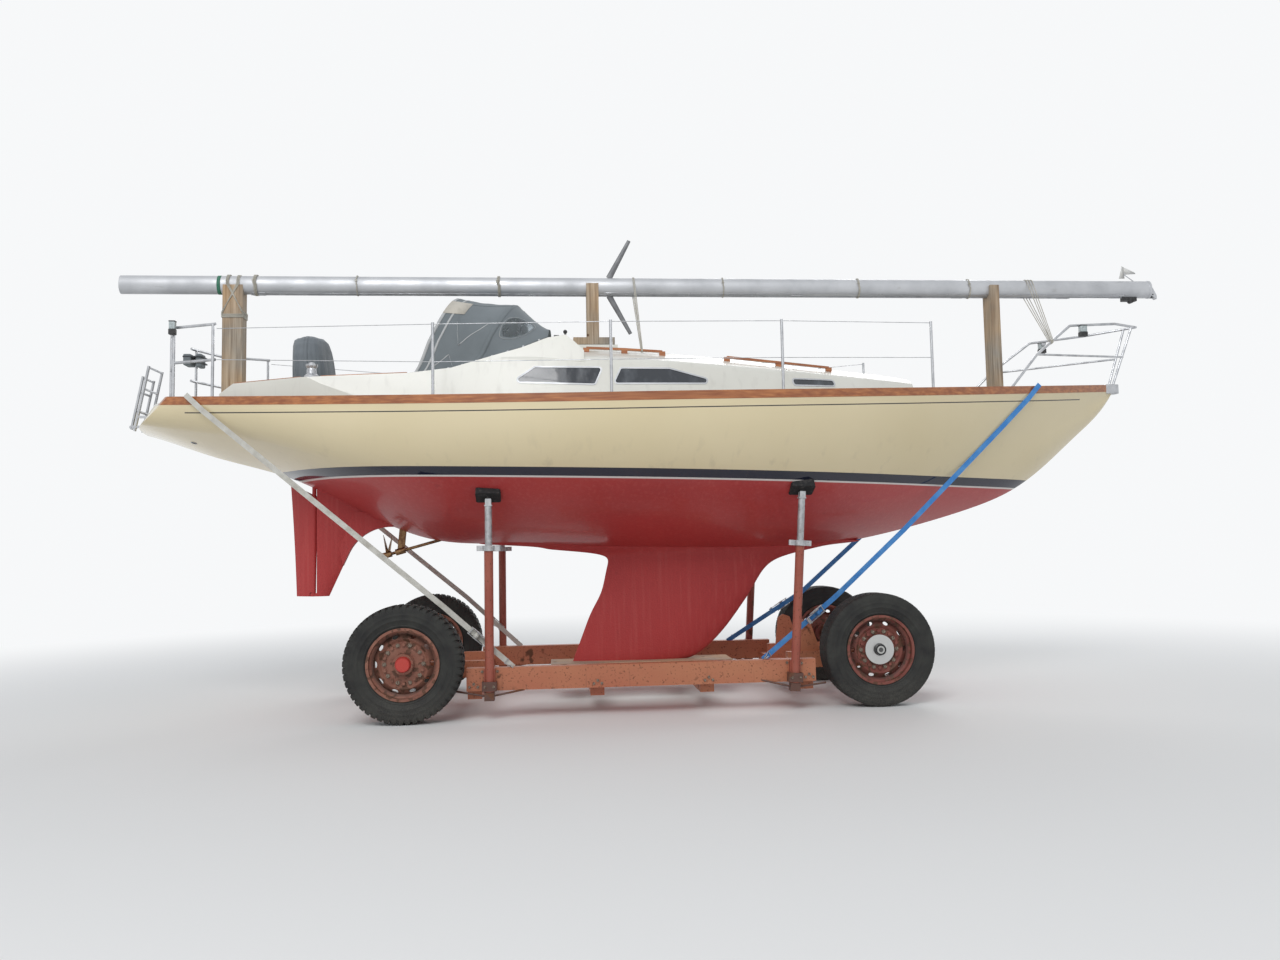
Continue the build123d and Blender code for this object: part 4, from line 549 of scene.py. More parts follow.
def close_mesh(name, shape, finish, bevel=0.0, sharp=35, **kept):
    """The finished piece from a working mesh, its small edges rounded."""
    mesh = bpy.data.meshes.new(name)
    bmesh.ops.recalc_face_normals(shape, faces=shape.faces)
    shape.to_mesh(mesh)
    shape.free()
    mesh.shade_smooth()
    mesh.set_sharp_from_angle(angle=radians(sharp))
    piece = add_piece(name, mesh, finish, **kept)
    if bevel:
        rounding = piece.modifiers.new("rounding", "BEVEL")
        rounding.width = bevel
        rounding.segments = 2
        rounding.limit_method = "ANGLE"
    return piece


bead = 0.288
wall_bend = 0.390
# Radius down one wall, and how far its raised rings stand proud
wall_rings = (
    (0.430, 0), (0.414, 0), (0.410, 0.0016), (0.405, 0.0016), (0.401, 0), (0.388, 0),
    (0.371, 0), (0.368, 0.0018), (0.363, 0.0018), (0.360, 0), (0.342, 0), (0.325, 0),
    (0.319, 0.0045), (0.311, 0.0045), (0.306, 0), (0.302, 0),
)
# Width, radius and depth of cut down one wall, round the bead and up the inside
wall = []
for radius, proud in wall_rings:
    if radius < wall_bend:
        drawn_in = 0.026 * ((wall_bend - radius) / 0.088) ** 2
    else:
        drawn_in = 0.002 * ((radius - wall_bend) / 0.040) ** 2
    wall.append((tyre_half - drawn_in + proud - 0.0018, radius, 0.0))
for inset, radius in ((0.030, bead), (0.058, bead), (0.036, 0.370), (0.060, 0.460)):
    wall.append((tyre_half - inset, radius, 0.0))


def tread_rows(grooves, groove_half, groove_depth, shoulder_cut, middle_cut):
    """Width, radius and depth of cut over the tread, from one shoulder to the other."""
    shoulder = [
        (-tyre_half + 0.003, 0.446, 0.5 * shoulder_cut), (-tyre_half + 0.008, 0.468, shoulder_cut),
        (-tyre_half + 0.018, 0.483, shoulder_cut), (-tyre_half + 0.034, tyre_radius - 0.0015, shoulder_cut),
    ]
    middle = []
    for place in grooves:
        before = middle_cut if middle else shoulder_cut
        after = shoulder_cut if place == grooves[-1] else middle_cut
        middle += [
            (place - groove_half - 0.001, tyre_radius, before),
            (place - groove_half, tyre_radius - groove_depth, 0.0),
            (place + groove_half, tyre_radius - groove_depth, 0.0),
            (place + groove_half + 0.001, tyre_radius, after),
        ]
    return shoulder + middle + [(-width, radius, cut) for width, radius, cut in shoulder[::-1]]


def tyre_shape(axle_x, face, side, tread, pitches, lug_depth, lug_share):
    """A tyre's working mesh; its rings fall on the edges of the lugs."""
    section = [(-width, radius, cut) for width, radius, cut in wall[::-1]] + tread + wall
    shape = bmesh.new()
    corners = []
    for pitch in range(pitches):
        for share, cuts in ((0.0, True), (0.05, False), (lug_share, False), (lug_share + 0.05, True)):
            for width, radius, cut in section:
                lean = 0.45 * abs(width) / tyre_half if cut else 0.0
                angle = 2 * pi * (pitch + share + lean) / pitches
                reach = radius - (lug_depth * cut if cuts else 0.0)
                corners.append(shape.verts.new((
                    axle_x + reach * cos(angle),
                    side * (face - tyre_half + width),
                    wheel_height + reach * sin(angle),
                )))
    for face_corners in strip_faces(4 * pitches, len(section), ring=True, loop=True):
        shape.faces.new([corners[k] for k in face_corners])
    return shape


rubber = Finish("tyre_rubber", 0.78, slot="rubber_tyre")
_, _, z = rubber.axes()
perished = rubber.spots(120, 6)
mossy = tint(fade(rubber.spots(7, 8), 0.34, 0.74), (0.012, 0.012, 0.012), (0.037, 0.038, 0.033))
low_dirt = fade(z, 0.30, 0.0) * fade(perished, 0.35, 0.65)
rubber.set("Base Color", tint(low_dirt * 0.55, mossy, (0.115, 0.105, 0.088)))
rubber.relief(perished, 0.0012, 0.6)
rear_tread = tread_rows((-0.052, 0.0, 0.052), 0.006, 0.013, 1.0, 0.75)
front_tread = tread_rows((-0.060, -0.020, 0.020, 0.060), 0.005, 0.011, 0.30, 0.12)
for wheel, axle_x, face, *cuts in (
    ("rear", rear_axle_x, rear_face, rear_tread, 52, 0.014, 0.66),
    ("front", front_axle_x, front_face, front_tread, 60, 0.010, 0.84),
):
    for side, hand in ((-1, "right"), (1, "left")):
        shape = tyre_shape(axle_x, face, side, *cuts)
        tyre = close_mesh(f"truck_tyre_{wheel}_{hand}", shape, rubber, sharp=32, body=f"wheel_{wheel}_{hand}")
        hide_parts(f"tyre_{wheel}_{hand}")

# Wheel nuts: ten on each disc in a ring, hexagon nuts with the stud's end standing through, rusty
# where the plating is gone.
nut_ring = bpy.data.node_groups.new("nut_ring", "GeometryNodeTree")
nut_inputs = {}
for label, kind, value in (
    ("Count", "Int", 10), ("Ring radius", "Float", 0.160), ("Nut radius", "Float", 0.0185),
    ("Nut height", "Float", 0.020), ("Centre", "Vector", None), ("Turn", "Vector", None),
    ("Finish", "Material", None),
):
    socket = nut_ring.interface.new_socket(name=label, in_out="INPUT", socket_type=f"NodeSocket{kind}")
    if value is not None:
        socket.default_value = value
    nut_inputs[label] = socket.identifier
nut_ring.interface.new_socket(name="Geometry", in_out="OUTPUT", socket_type="NodeSocketGeometry")


def nut_node(kind, **inputs):
    """A node of the ring, its inputs linked or set."""
    node = nut_ring.nodes.new(kind)
    for label, values in inputs.items():
        for value in values if isinstance(values, list) else [values]:
            feed(node.inputs[label], value)
    return Share(node.outputs[0])


given = {socket.name: Share(socket) for socket in nut_ring.nodes.new("NodeGroupInput").outputs if socket.name}
ring = nut_node("GeometryNodeMeshCircle", Vertices=given["Count"], Radius=given["Ring radius"])
nut = nut_node("GeometryNodeMeshCylinder", Vertices=6, Radius=given["Nut radius"], Depth=given["Nut height"])
stud_radius, stud_length = given["Nut radius"] * 0.58, given["Nut height"] * 1.75
stud = nut_node("GeometryNodeMeshCylinder", Vertices=14, Radius=stud_radius, Depth=stud_length)
bolt = nut_node("GeometryNodeJoinGeometry", Geometry=[nut, stud])
spread = nut_node("GeometryNodeInstanceOnPoints", Points=ring, Instance=bolt)
turned = nut_node(
    "GeometryNodeTransform", Geometry=spread, Rotation=given["Turn"], Translation=given["Centre"]
)
solid = nut_node("GeometryNodeRealizeInstances", Geometry=turned)
finished = nut_node("GeometryNodeSetMaterial", Geometry=solid, Material=given["Finish"])
feed(nut_ring.nodes.new("NodeGroupOutput").inputs[0], finished)


def plain_mesh(holder):
    """The evaluated mesh of a curve or of a modified object, whose holder is then removed."""
    scene.collection.objects.link(holder)
    mesh = bpy.data.meshes.new_from_object(holder.evaluated_get(bpy.context.evaluated_depsgraph_get()))
    bpy.data.objects.remove(holder)
    return mesh


nut_steel = Finish("nut_steel", 0.55, 0.6, slot="galvanised")
rusted = nut_steel.mottle((120, 6), (0.40, 0.62), (0.30, 0.27, 0.22), (0.115, 0.055, 0.034))
nut_steel.relief(rusted, 0.0006, 0.5)
nut_seat = 0.016
for wheel, axle_x, face, disc in (
    ("rear", rear_axle_x, rear_face, 0.020),
    ("front", front_axle_x, front_face, 0.030),
):
    for side, hand in ((-1, "right"), (1, "left")):
        name = f"wheel_nuts_{wheel}_{hand}"
        holder = bpy.data.objects.new(name, bpy.data.meshes.new(name))
        modifier = holder.modifiers.new("grown", "NODES")
        modifier.node_group = nut_ring
        modifier[nut_inputs["Centre"]] = (axle_x, side * (face - tyre_half + disc + nut_seat), wheel_height)
        modifier[nut_inputs["Turn"]] = (pi / 2, 0, 0)
        modifier[nut_inputs["Finish"]] = nut_steel.material
        add_piece(name, plain_mesh(holder), nut_steel, f"wheel_{wheel}_{hand}")


# Sprayhood: one grey acrylic canvas stretched over two stainless bows and snapped to the coamings,
# with clear vinyl lights in front, pale hems along the after edge and dark piping at the foot.
def foot_height(x):
    """Height of the canvas's foot, from its points."""
    for (x0, z0), (x1, z1) in zip(hood_foot, hood_foot[1:]):
        if x <= x1 or x1 == hood_foot[-1][0]:
            share = min(max((x - x0) / (x1 - x0), 0), 1)
            return z0 + (z1 - z0) * share


def bow_point(bow, rise):
    """A point on a bow: rise runs from 0 at its foot to 1 at the crown."""
    foot_x, foot_z, crown_x, crown_z = bow
    straight = 0.36 * min(max((hood_shoulder - foot_z) / 0.30, 0.05), 1)
    if rise < straight:
        share = rise / straight
        z = foot_z + (hood_shoulder - foot_z) * share
        half = hood_half + 0.014 * (1 - share)
    else:
        turn = pi / 2 * (rise - straight) / (1 - straight)
        z = hood_shoulder + (crown_z - hood_shoulder) * sin(turn) ** 0.77
        half = hood_half * max(cos(turn), 0) ** 0.77
    x = foot_x + (crown_x - foot_x) * (z - foot_z) / (crown_z - foot_z)
    return Vector((x, half, z))


def hood_point(along, across, proud=0.0):
    """A point of the canvas: along 0 to 2 from the after edge to the windscreen's foot, across from
    -1 at the right foot to 1 at the left; the cloth is drawn in a little between its bows."""
    if proud:
        step = 0.004
        middle = hood_point(along, across)
        forward = hood_point(min(along + step, 2), across) - hood_point(max(along - step, 0), across)
        sideways = hood_point(along, min(across + step, 1)) - hood_point(along, max(across - step, -1))
        return middle + proud * forward.cross(sideways).normalized()
    first = min(int(along), 1)
    share = along - first
    rise = 1 - abs(across)
    point = bow_point(hood_bows[first], rise).lerp(bow_point(hood_bows[first + 1], rise), share)
    point.z += (foot_height(point.x) - point.z) * max(1 - 3.2 * rise, 0) ** 1.5 if rise < 0.31 else 0
    sag = sin(pi * share)
    point.z -= (0.016 if first == 0 else 0.008) * sag * min(rise * 2, 1)
    point.y *= 1 - 0.012 * sag * (1 - rise) * min(rise * 8, 1)
    creases = sin(21 * along + 3.1 * across) * sin(13 * across + 2.0 * along)
    point.z += 0.0022 * creases * sag
    point.x += 0.0020 * sin(17 * across + 5 * along) * sag
    if across < 0:
        point.y = -point.y
    return point


def in_light(along, across, light):
    """Whether a place on the canvas is well inside a clear light."""
    middle_along, middle_across, half_along, half_across = light
    a = (along - middle_along) / (0.98 * half_along)
    b = (across - middle_across) / (0.98 * half_across)
    return abs(a) ** light_power + abs(b) ** light_power < 1


def light_edge(light, turn, grown=0.0):
    """A place on a light's edge by its angle, or on the edge grown by a share."""
    middle_along, middle_across, half_along, half_across = light
    c, s = cos(turn), sin(turn)
    return (
        middle_along + half_along * (1 + grown) * copysign(abs(c) ** (2 / light_power), c),
        middle_across + half_across * (1 + grown) * copysign(abs(s) ** (2 / light_power), s),
    )


def cloth_piece(name, corners, faces, finish, **kept):
    """A smooth mesh piece from its points and faces."""
    mesh = bpy.data.meshes.new(name)
    mesh.from_pydata([tuple(corner) for corner in corners], [], faces)
    mesh.update()
    mesh.shade_smooth()
    return add_piece(name, mesh, finish, **kept)


def thicken(piece, thickness, offset=0.0):
    """Give a sheet its thickness."""
    skin = piece.modifiers.new("thickness", "SOLIDIFY")
    skin.thickness = thickness
    skin.offset = offset
    skin.use_even_offset = False
    return piece


def woven(name, light_thread, dark_thread, pitch=0.0016, roughness=0.9):
    """Woven cloth: fine crossed threads, sun-bleached in clouds, with dust in the creases."""
    finish = Finish(name, roughness, slot="canvas")
    finish.set("Sheen Weight", 0.15)
    finish.set("Sheen Roughness", 0.5)
    x, y, z = finish.axes()
    waves = 2 * pi / pitch
    weave = fade(((x + z) * waves).sine() * ((y + z * 0.37) * waves).sine(), -1, 1)
    colour = tint(fade(finish.spots(2.4, 7), 0.32, 0.72), dark_thread, light_thread)
    colour = tint(weave * 0.28, colour, light_thread)
    dirt = fade(finish.spots(9, 8, (1, 1, 0.5)), 0.60, 0.82)
    finish.set("Base Color", tint(dirt * 0.4, colour, tuple(0.45 * part for part in dark_thread)))
    finish.relief(weave * 0.25 + finish.spots(26, 5), 0.0022, 0.6)
    return finish


def ribbon(name, edge_pairs, finish, proud, closed=False, thickness=0.0012):
    """A narrow strip sewn on the canvas between two lines of places on it."""
    corners = [hood_point(*place, proud) for pair in edge_pairs for place in pair]
    faces = strip_faces(len(edge_pairs), 2, loop=closed)
    thicken(cloth_piece(name, corners, faces, finish), thickness)


hood_foot = ((-2.281, 2.954), (-1.923, 3.000), (-1.543, 3.120), (-1.320, 3.187), (-1.097, 3.280))
# After edge, main bow and windscreen's foot: foot x and z, crown x and z
hood_bows = ((-2.281, 2.954, -1.886, 3.765), (-1.735, 3.060, -1.350, 3.700), (-1.097, 3.280, -1.060, 3.420))
hood_half = 0.790
hood_shoulder = 3.300
light_power = 2.2
# Clear lights: middle along, middle across, half along, half across
hood_lights = ((1.47, 0.0, 0.34, 0.25), (1.40, 0.62, 0.30, 0.135), (1.40, -0.62, 0.30, 0.135))
# Seams of the reinforced panels on each side, as places on the canvas
hood_side_seams = (((0.30, 0.56), (0.52, 0.74), (0.86, 0.60)), ((0.24, 0.90), (0.42, 0.80), (0.60, 0.93)))

hood_canvas = woven("hood_canvas", (0.215, 0.242, 0.256), (0.145, 0.166, 0.176))
hem_cloth = woven("hem_cloth", (0.560, 0.565, 0.560), (0.440, 0.450, 0.450))
dark_binding = woven("dark_binding", (0.075, 0.080, 0.088), (0.040, 0.044, 0.050), 0.0014)
patch_cloth = woven("patch_vinyl", (0.640, 0.600, 0.520), (0.520, 0.480, 0.410), 0.002, 0.6)
vinyl = Finish("clear_vinyl", 0.10, slot="smoked_glass")
vinyl.set("Base Color", (0.72, 0.77, 0.80))
vinyl.set("Transmission Weight", 0.92)
vinyl.set("IOR", 1.12)
vinyl.set("Roughness", fade(fade(vinyl.spots(12, 7), 0.40, 0.80), -0.25, 2.6))
vinyl.relief(vinyl.spots(7, 3), 0.004, 0.25)

across_steps, along_steps = 132, 64
corners = [
    hood_point(2 * i / along_steps, 2 * j / across_steps - 1)
    for i in range(along_steps + 1) for j in range(across_steps + 1)
]
faces = []
for i in range(along_steps):
    for j in range(across_steps):
        middle = (2 * (i + 0.5) / along_steps, 2 * (j + 0.5) / across_steps - 1)
        if not any(in_light(*middle, light) for light in hood_lights):
            a = i * (across_steps + 1) + j
            faces.append((a, a + across_steps + 1, a + across_steps + 2, a + 1))
hood = cloth_piece("sprayhood_canvas", corners, faces, hood_canvas)
thicken(hood, 0.0016)
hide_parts("sprayhood")

edge_steps = 96
pane_rings = 9
for k, light in enumerate(hood_lights):
    hem = [(light_edge(light, turn, -0.075), light_edge(light, turn, 0.075)) for turn in circle(edge_steps)]
    stitches = [
        (light_edge(light, turn, 0.045), light_edge(light, turn, 0.062)) for turn in circle(edge_steps)
    ]
    ribbon(f"hood_light_hem_{k}", hem, hood_canvas, 0.0026, closed=True)
    ribbon(f"hood_light_stitching_{k}", stitches, hem_cloth, 0.0036, closed=True, thickness=0.0008)
    corners = [hood_point(light[0], light[1])]
    for n in range(1, pane_rings + 1):
        inward = n / pane_rings - 1
        corners += [hood_point(*light_edge(light, turn, inward), 0.0004) for turn in circle(edge_steps)]
    faces = [(0, 1 + (n + 1) % edge_steps, 1 + n) for n in range(edge_steps)]
    faces += strip_faces(pane_rings, edge_steps, ring=True, first=1)
    thicken(cloth_piece(f"hood_light_{k}", corners, faces, vinyl), 0.0008)

whole_width = [2 * n / 120 - 1 for n in range(121)]
for name, low, high, finish, proud in (
    ("hood_after_hem", 0.0, 0.050, hem_cloth, 0.0024), ("hood_after_seam", 0.150, 0.186, hem_cloth, 0.0024),
    ("hood_bow_pocket", 0.955, 1.045, hood_canvas, 0.0022),
):
    ribbon(name, [((low, t), (high, t)) for t in whole_width], finish, proud)
for k, t in enumerate((-0.34, 0.34)):
    edges = [((n / 40, t - 0.008), (n / 40, t + 0.008)) for n in range(41)]
    ribbon(f"hood_roof_seam_{k}", edges, hood_canvas, 0.0022)
for side, hand in ((-1, "right"), (1, "left")):
    corner = [((0.0, side * t), (0.34, side * t)) for t in (0.32 + 0.17 * n / 10 for n in range(11))]
    ribbon(f"hood_corner_patch_{hand}", corner, patch_cloth, 0.0034)
    for k, line in enumerate(hood_side_seams):
        run = []
        for (a0, t0), (a1, t1) in zip(line, line[1:]):
            run += [(a0 + (a1 - a0) * n / 12, t0 + (t1 - t0) * n / 12) for n in range(12)]
        seam = [((a - 0.006, side * (t - 0.003)), (a + 0.006, side * (t + 0.003))) for a, t in run]
        ribbon(f"hood_side_seam_{hand}_{k}", seam, hem_cloth, 0.0022, thickness=0.0008)
    foot = [((2 * n / 80, side * 0.9995), (2 * n / 80, side * 0.950)) for n in range(81)]
    ribbon(f"hood_foot_binding_{hand}", foot, dark_binding, 0.0030)


# Hood bows: two stainless tubes bent to the shape of the canvas. They stand just inside it, with
# their feet on the coamings.
def tube(name, points, radius, finish, closed=False, sides=12):
    """A round bar along points, made a plain mesh."""
    curve = bpy.data.curves.new(name, "CURVE")
    curve.dimensions = "3D"
    curve.bevel_depth = radius
    curve.bevel_resolution = max(sides // 4 - 1, 0)
    curve.use_fill_caps = True
    spline = curve.splines.new("POLY")
    spline.points.add(len(points) - 1)
    for point, place in zip(spline.points, points):
        point.co = (*place, 1)
    spline.use_cyclic_u = closed
    spline.use_smooth = True
    return add_piece(name, plain_mesh(bpy.data.objects.new(name, curve)), finish)


for k, along in enumerate((0.025, 1.0)):
    arch = [hood_point(along, 0.985 * (2 * n / 72 - 1), -0.014) for n in range(73)]
    tube(f"hood_bow_{k}", arch, 0.011, stainless)

# Snaps: domed chrome studs that hold the hood's foot to the coamings, pressed through the binding
# in a row along each side.
snap_line = 0.960
snaps = bmesh.new()
for side in (-1, 1):
    for k in range(9):
        along = 0.12 + 0.22 * k
        at = hood_point(along, side * snap_line, 0.0060)
        turn = (at - hood_point(along, side * snap_line)).to_track_quat("Z", "Y").to_matrix().to_4x4()
        bmesh.ops.create_uvsphere(
            snaps, u_segments=16, v_segments=8, radius=0.011,
            matrix=Matrix.Translation(at) @ turn @ Matrix.Diagonal((1, 1, 0.45, 1)),
        )
close_mesh("hood_snaps", snaps, stainless, sharp=180)


# Wheel cover: a canvas bag pulled over the steering wheel and its pedestal, gathered by a cord at
# the foot, with one seam up each side and slack folds where the wheel's rim ends.
def cover_point(height, turn):
    """A point of the bag at a height share from 0 to 1 and an angle round it."""
    reach = height * (len(cover_table) - 1)
    first = min(int(reach), len(cover_table) - 2)
    share = reach - first
    lower, upper = cover_table[first : first + 2]
    z, x, along, across, square = (a + (b - a) * share for a, b in zip(lower, upper))
    c, s = cos(turn), sin(turn)
    power = 2 / square
    slack = 1 - height
    folds = 0.011 * slack * sin(9 * turn + 2.0 * sin(3 * turn) + 3 * height)
    folds += 0.006 * sin(5 * turn + 11 * height)
    folds += 0.004 * sin(23 * turn + 7 * height) * slack
    size = 1 + folds / 0.22
    return Vector((
        x + along * size * copysign(abs(c) ** power, c),
        across * size * copysign(abs(s) ** power, s),
        z + 0.006 * sin(4 * turn + 1) * height,
    ))


cover_x = -3.290
# Height, middle x, half along, half across, how square the outline is
cover_table = (
    (2.765, cover_x, 0.148, 0.262, 2.6), (2.800, cover_x, 0.138, 0.246, 2.4),
    (2.860, cover_x, 0.158, 0.276, 2.8), (2.980, -3.292, 0.163, 0.290, 3.0),
    (3.120, -3.296, 0.160, 0.302, 3.2), (3.250, -3.302, 0.150, 0.300, 3.2),
    (3.340, -3.306, 0.144, 0.272, 3.2), (3.400, -3.310, 0.136, 0.218, 3.2),
    (3.432, -3.316, 0.112, 0.150, 3.0), (3.444, -3.322, 0.060, 0.070, 2.4),
)
turns, levels = 120, 60
corners = [cover_point(i / levels, turn) for i in range(levels + 1) for turn in circle(turns)]
faces = strip_faces(levels + 1, turns, ring=True)
corners.append(sum(corners[-turns:], Vector()) / turns + Vector((0, 0, 0.002)))
faces += [(levels * turns + j, levels * turns + (j + 1) % turns, len(corners) - 1) for j in range(turns)]
cover_canvas = woven("cover_canvas", (0.215, 0.238, 0.256), (0.130, 0.148, 0.164))
cover = cloth_piece("wheel_cover_canvas", corners, faces, cover_canvas)
thicken(cover, 0.0018, -1)
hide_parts("wheel_cover")
for side, hand in ((-1, "right"), (1, "left")):
    corners = []
    for i in range(levels + 1):
        for edge in (-0.035, 0.035):
            on_cover = cover_point(i / levels * 0.97, side * pi / 2 + edge)
            corners.append(on_cover + Vector((0, side * 0.0022, 0.0008)))
    seam = cloth_piece(f"cover_seam_{hand}", corners, strip_faces(levels + 1, 2), cover_canvas)
    thicken(seam, 0.0010)
drawn = [cover_point(0.115, turn) for turn in circle(72)]
drawn = [Vector((cover_x + 1.012 * (p.x - cover_x), 1.012 * p.y, p.z)) for p in drawn]
tube("cover_draw_cord", drawn, 0.004, hem_cloth, closed=True, sides=8)

# Lashing straps: flat polyester webbing, blue at the bow and white at the stern, ribbed along its
# length, with worn edges. Each runs through a steel ratchet near its lower end to a hook.
webbing = Finish("strap_webbing", 0.72, slot="webbing")
x, _, z = webbing.axes()
worn = fade(webbing.spots(12, 8), 0.40, 0.75)
blue = tint(worn, (0.035, 0.240, 0.660), (0.110, 0.360, 0.740))
white = tint(worn, (0.700, 0.680, 0.610), (0.480, 0.450, 0.380))
weave = fade(((x + z * 0.8) * 1900).sine() + ((z - x * 0.9) * 900).sine(), -2, 2)
cloth = tint(fade(x, -0.01, 0.01), white, blue)
# Painted shade: the web is darker in the grooves between the ribs of the weave.
webbing.set("Base Color", tint((1.0 - weave) * 0.35, cloth, (0.10, 0.13, 0.18)))
webbing.relief(weave, 0.0008, 0.6)
dress(webbing, "lashing_straps")


def add_bar(shape, start, end, radius, sides=16):
    """A round bar between two points."""
    start, end = Vector(start), Vector(end)
    turn = (end - start).to_track_quat("Z", "Y").to_matrix().to_4x4()
    bmesh.ops.create_cone(
        shape, cap_ends=True, segments=sides, radius1=radius, radius2=radius, depth=(end - start).length,
        matrix=Matrix.Translation((start + end) / 2) @ turn,
    )


def add_pin(shape, middle, half_length, radius, sides=16):
    """A round bar about its middle, from the vector of half its length."""
    add_bar(shape, Vector(middle) - Vector(half_length), Vector(middle) + Vector(half_length), radius, sides)


def add_block(shape, centre, size, turn=None):
    """A block of a size about a centre, turned by a matrix of its three directions."""
    turned = turn.to_4x4() if turn else Matrix()
    bmesh.ops.create_cube(
        shape, size=1, matrix=Matrix.Translation(centre) @ turned @ Matrix.Diagonal((*size, 1))
    )


# Each strap's last run, from its upper to its lower end, and how far along it the ratchet lies
strap_runs = (
    ("bow", (1.482, 0.600, 0.935), (0.740, 0.880, 0.426), 0.26),
    ("stern", (-1.973, 0.980, 0.940), (-1.410, 0.912, 0.426), 0.46),
)
ratchet_teeth = 10
winding_steps = 12
# Hook's wire, from one side of the strap's eye to the other end: along, across the web and outwards
hook_bends = (
    (-0.080, -0.026, 0.010), (-0.080, 0.026, 0.010), (-0.040, 0.006, 0.010), (-0.014, 0.006, 0.018),
    (0.0, 0.0, 0.034), (-0.012, 0.0, 0.052), (-0.036, 0.0, 0.054),
)
for end_name, start, end, share in strap_runs:
    for side, hand in ((-1, "right"), (1, "left")):
        high = Vector((start[0], side * start[1], start[2]))
        low = Vector((end[0], side * end[1], end[2]))
        run = (low - high).normalized()
        flat = Vector((0, 1, 0)).cross(run).normalized()
        across = run.cross(flat)
        if across.y * side < 0:
            across.negate()
        turn = Matrix((run, flat, across)).transposed()
        centre = high.lerp(low, share) + across * 0.018
        ratchet = bmesh.new()
        for edge in (-1, 1):
            cheek = centre + flat * edge * 0.031
            add_block(ratchet, cheek, (0.150, 0.0035, 0.034), turn)
            lever = centre + flat * edge * 0.0255 + run * 0.062 + across * 0.020
            add_block(ratchet, lever, (0.150, 0.0030, 0.026), turn)
            for angle in circle(ratchet_teeth):
                tooth = cheek + (run * cos(angle) + across * sin(angle)) * 0.021
                add_pin(ratchet, tooth, flat * 0.003, 0.0052, 8)
            add_pin(ratchet, cheek, flat * 0.0035, 0.021, 24)
        add_pin(ratchet, centre, flat * 0.036, 0.012)
        for along, off, half_width, radius, sides in (
            (-0.062, 0.0, 0.034, 0.0055, 12),
            (0.120, 0.026, 0.034, 0.0055, 12),
            (0.136, 0.022, 0.028, 0.011, 16),
        ):
            add_pin(ratchet, centre + run * along + across * off, flat * half_width, radius, sides)
        close_mesh(f"strap_ratchet_{end_name}_{hand}", ratchet, zinc, 0.0008)
        corners = []
        for angle in circle(winding_steps) + [2 * pi]:
            spoke = (run * cos(angle) + across * sin(angle)) * 0.0185
            corners += [centre + spoke + flat * 0.023, centre + spoke - flat * 0.023]
        faces = strip_faces(winding_steps + 1, 2)
        thicken(cloth_piece(f"strap_winding_{end_name}_{hand}", corners, faces, webbing), 0.004)
        wire = [low + run * a + flat * b + across * c for a, b, c in hook_bends]
        tube(f"strap_hook_{end_name}_{hand}", wire, 0.0048, zinc)


# Mast gear: an alloy sail track riveted along its far face, plastic sheaves in the masthead, and a
# wind vane on a thin stalk. The mast lies with one side down.
def mast_edge(x, angle, proud):
    """A point just off the mast's skin: angle runs from the near side over the top."""
    y = -(mast_half_y + proud) * cos(angle)
    return Vector((x, y, mast_z + (mast_half_z + proud) * sin(angle)))


mast_z = 3.960
mast_half_y, mast_half_z = 0.062, 0.088
track = bmesh.new()
add_block(track, (0.40, mast_half_y + 0.004, mast_z), (8.30, 0.012, 0.026))
for k in range(34):
    add_pin(track, (-3.65 + 0.245 * k, mast_half_y + 0.010, mast_z), (0, 0.002, 0), 0.005, 8)
close_mesh("mast_sail_track", track, alloy, 0.0015)

black_plastic = Finish("black_plastic", 0.48)
black_plastic.mottle((40, 6), (0.45, 0.75), (0.014, 0.014, 0.015), (0.060, 0.060, 0.062))
black_plastic.relief(black_plastic.spots(300, 4), 0.0005, 0.5)
sheaves = bmesh.new()
for x, z in ((5.078, 3.905), (5.064, 3.952)):
    for y in (-0.0125, 0.0125):
        add_pin(sheaves, (x, y, z), (0, 0.0095, 0), 0.030, 32)
    add_pin(sheaves, (x, 0, z), (0, 0.030, 0), 0.006, 12)
box_top = mast_z - mast_half_z
add_block(sheaves, (4.830, 0, box_top - 0.012), (0.150, 0.050, 0.044))
for y in (-0.013, 0.013):
    add_pin(sheaves, (4.850, y, box_top - 0.030), (0, 0.009, 0), 0.024, 28)
close_mesh("masthead_sheaves", sheaves, black_plastic, 0.001)

white_plastic = Finish("white_plastic", 0.42, slot="alloy")
white_plastic.mottle((18, 7), (0.35, 0.75), (0.78, 0.78, 0.76), (0.60, 0.58, 0.53))
white_plastic.relief(white_plastic.spots(200, 4), 0.0004, 0.4)
# Side of each tab of the vane and its corners, x and z
vane_tabs = (
    (-0.022, ((4.727, 4.068), (4.762, 4.196), (4.778, 4.192), (4.786, 4.070))),
    (0.022, ((4.786, 4.212), (4.798, 4.122), (4.934, 4.132), (4.930, 4.144))),
)
for k, (y, outline) in enumerate(vane_tabs):
    corners = [(x, y, z) for x, z in outline]
    thicken(cloth_piece(f"wind_vane_tab_{k}", corners, [(0, 1, 2, 3)], white_plastic), 0.003)
vane_pivot = Vector((4.792, 0, 4.120))
stalk = bmesh.new()
add_bar(stalk, (4.900, 0, mast_z + mast_half_z - 0.004), vane_pivot, 0.0045, 10)
add_pin(stalk, vane_pivot, (0, 0.026, 0), 0.005, 10)
for y, tip_x, tip_z in ((-0.022, 4.760, 4.090), (0.022, 4.810, 4.140)):
    add_bar(stalk, vane_pivot + Vector((0, y, 0)), (tip_x, y, tip_z), 0.003, 8)
close_mesh("wind_vane_stalk", stalk, stainless)

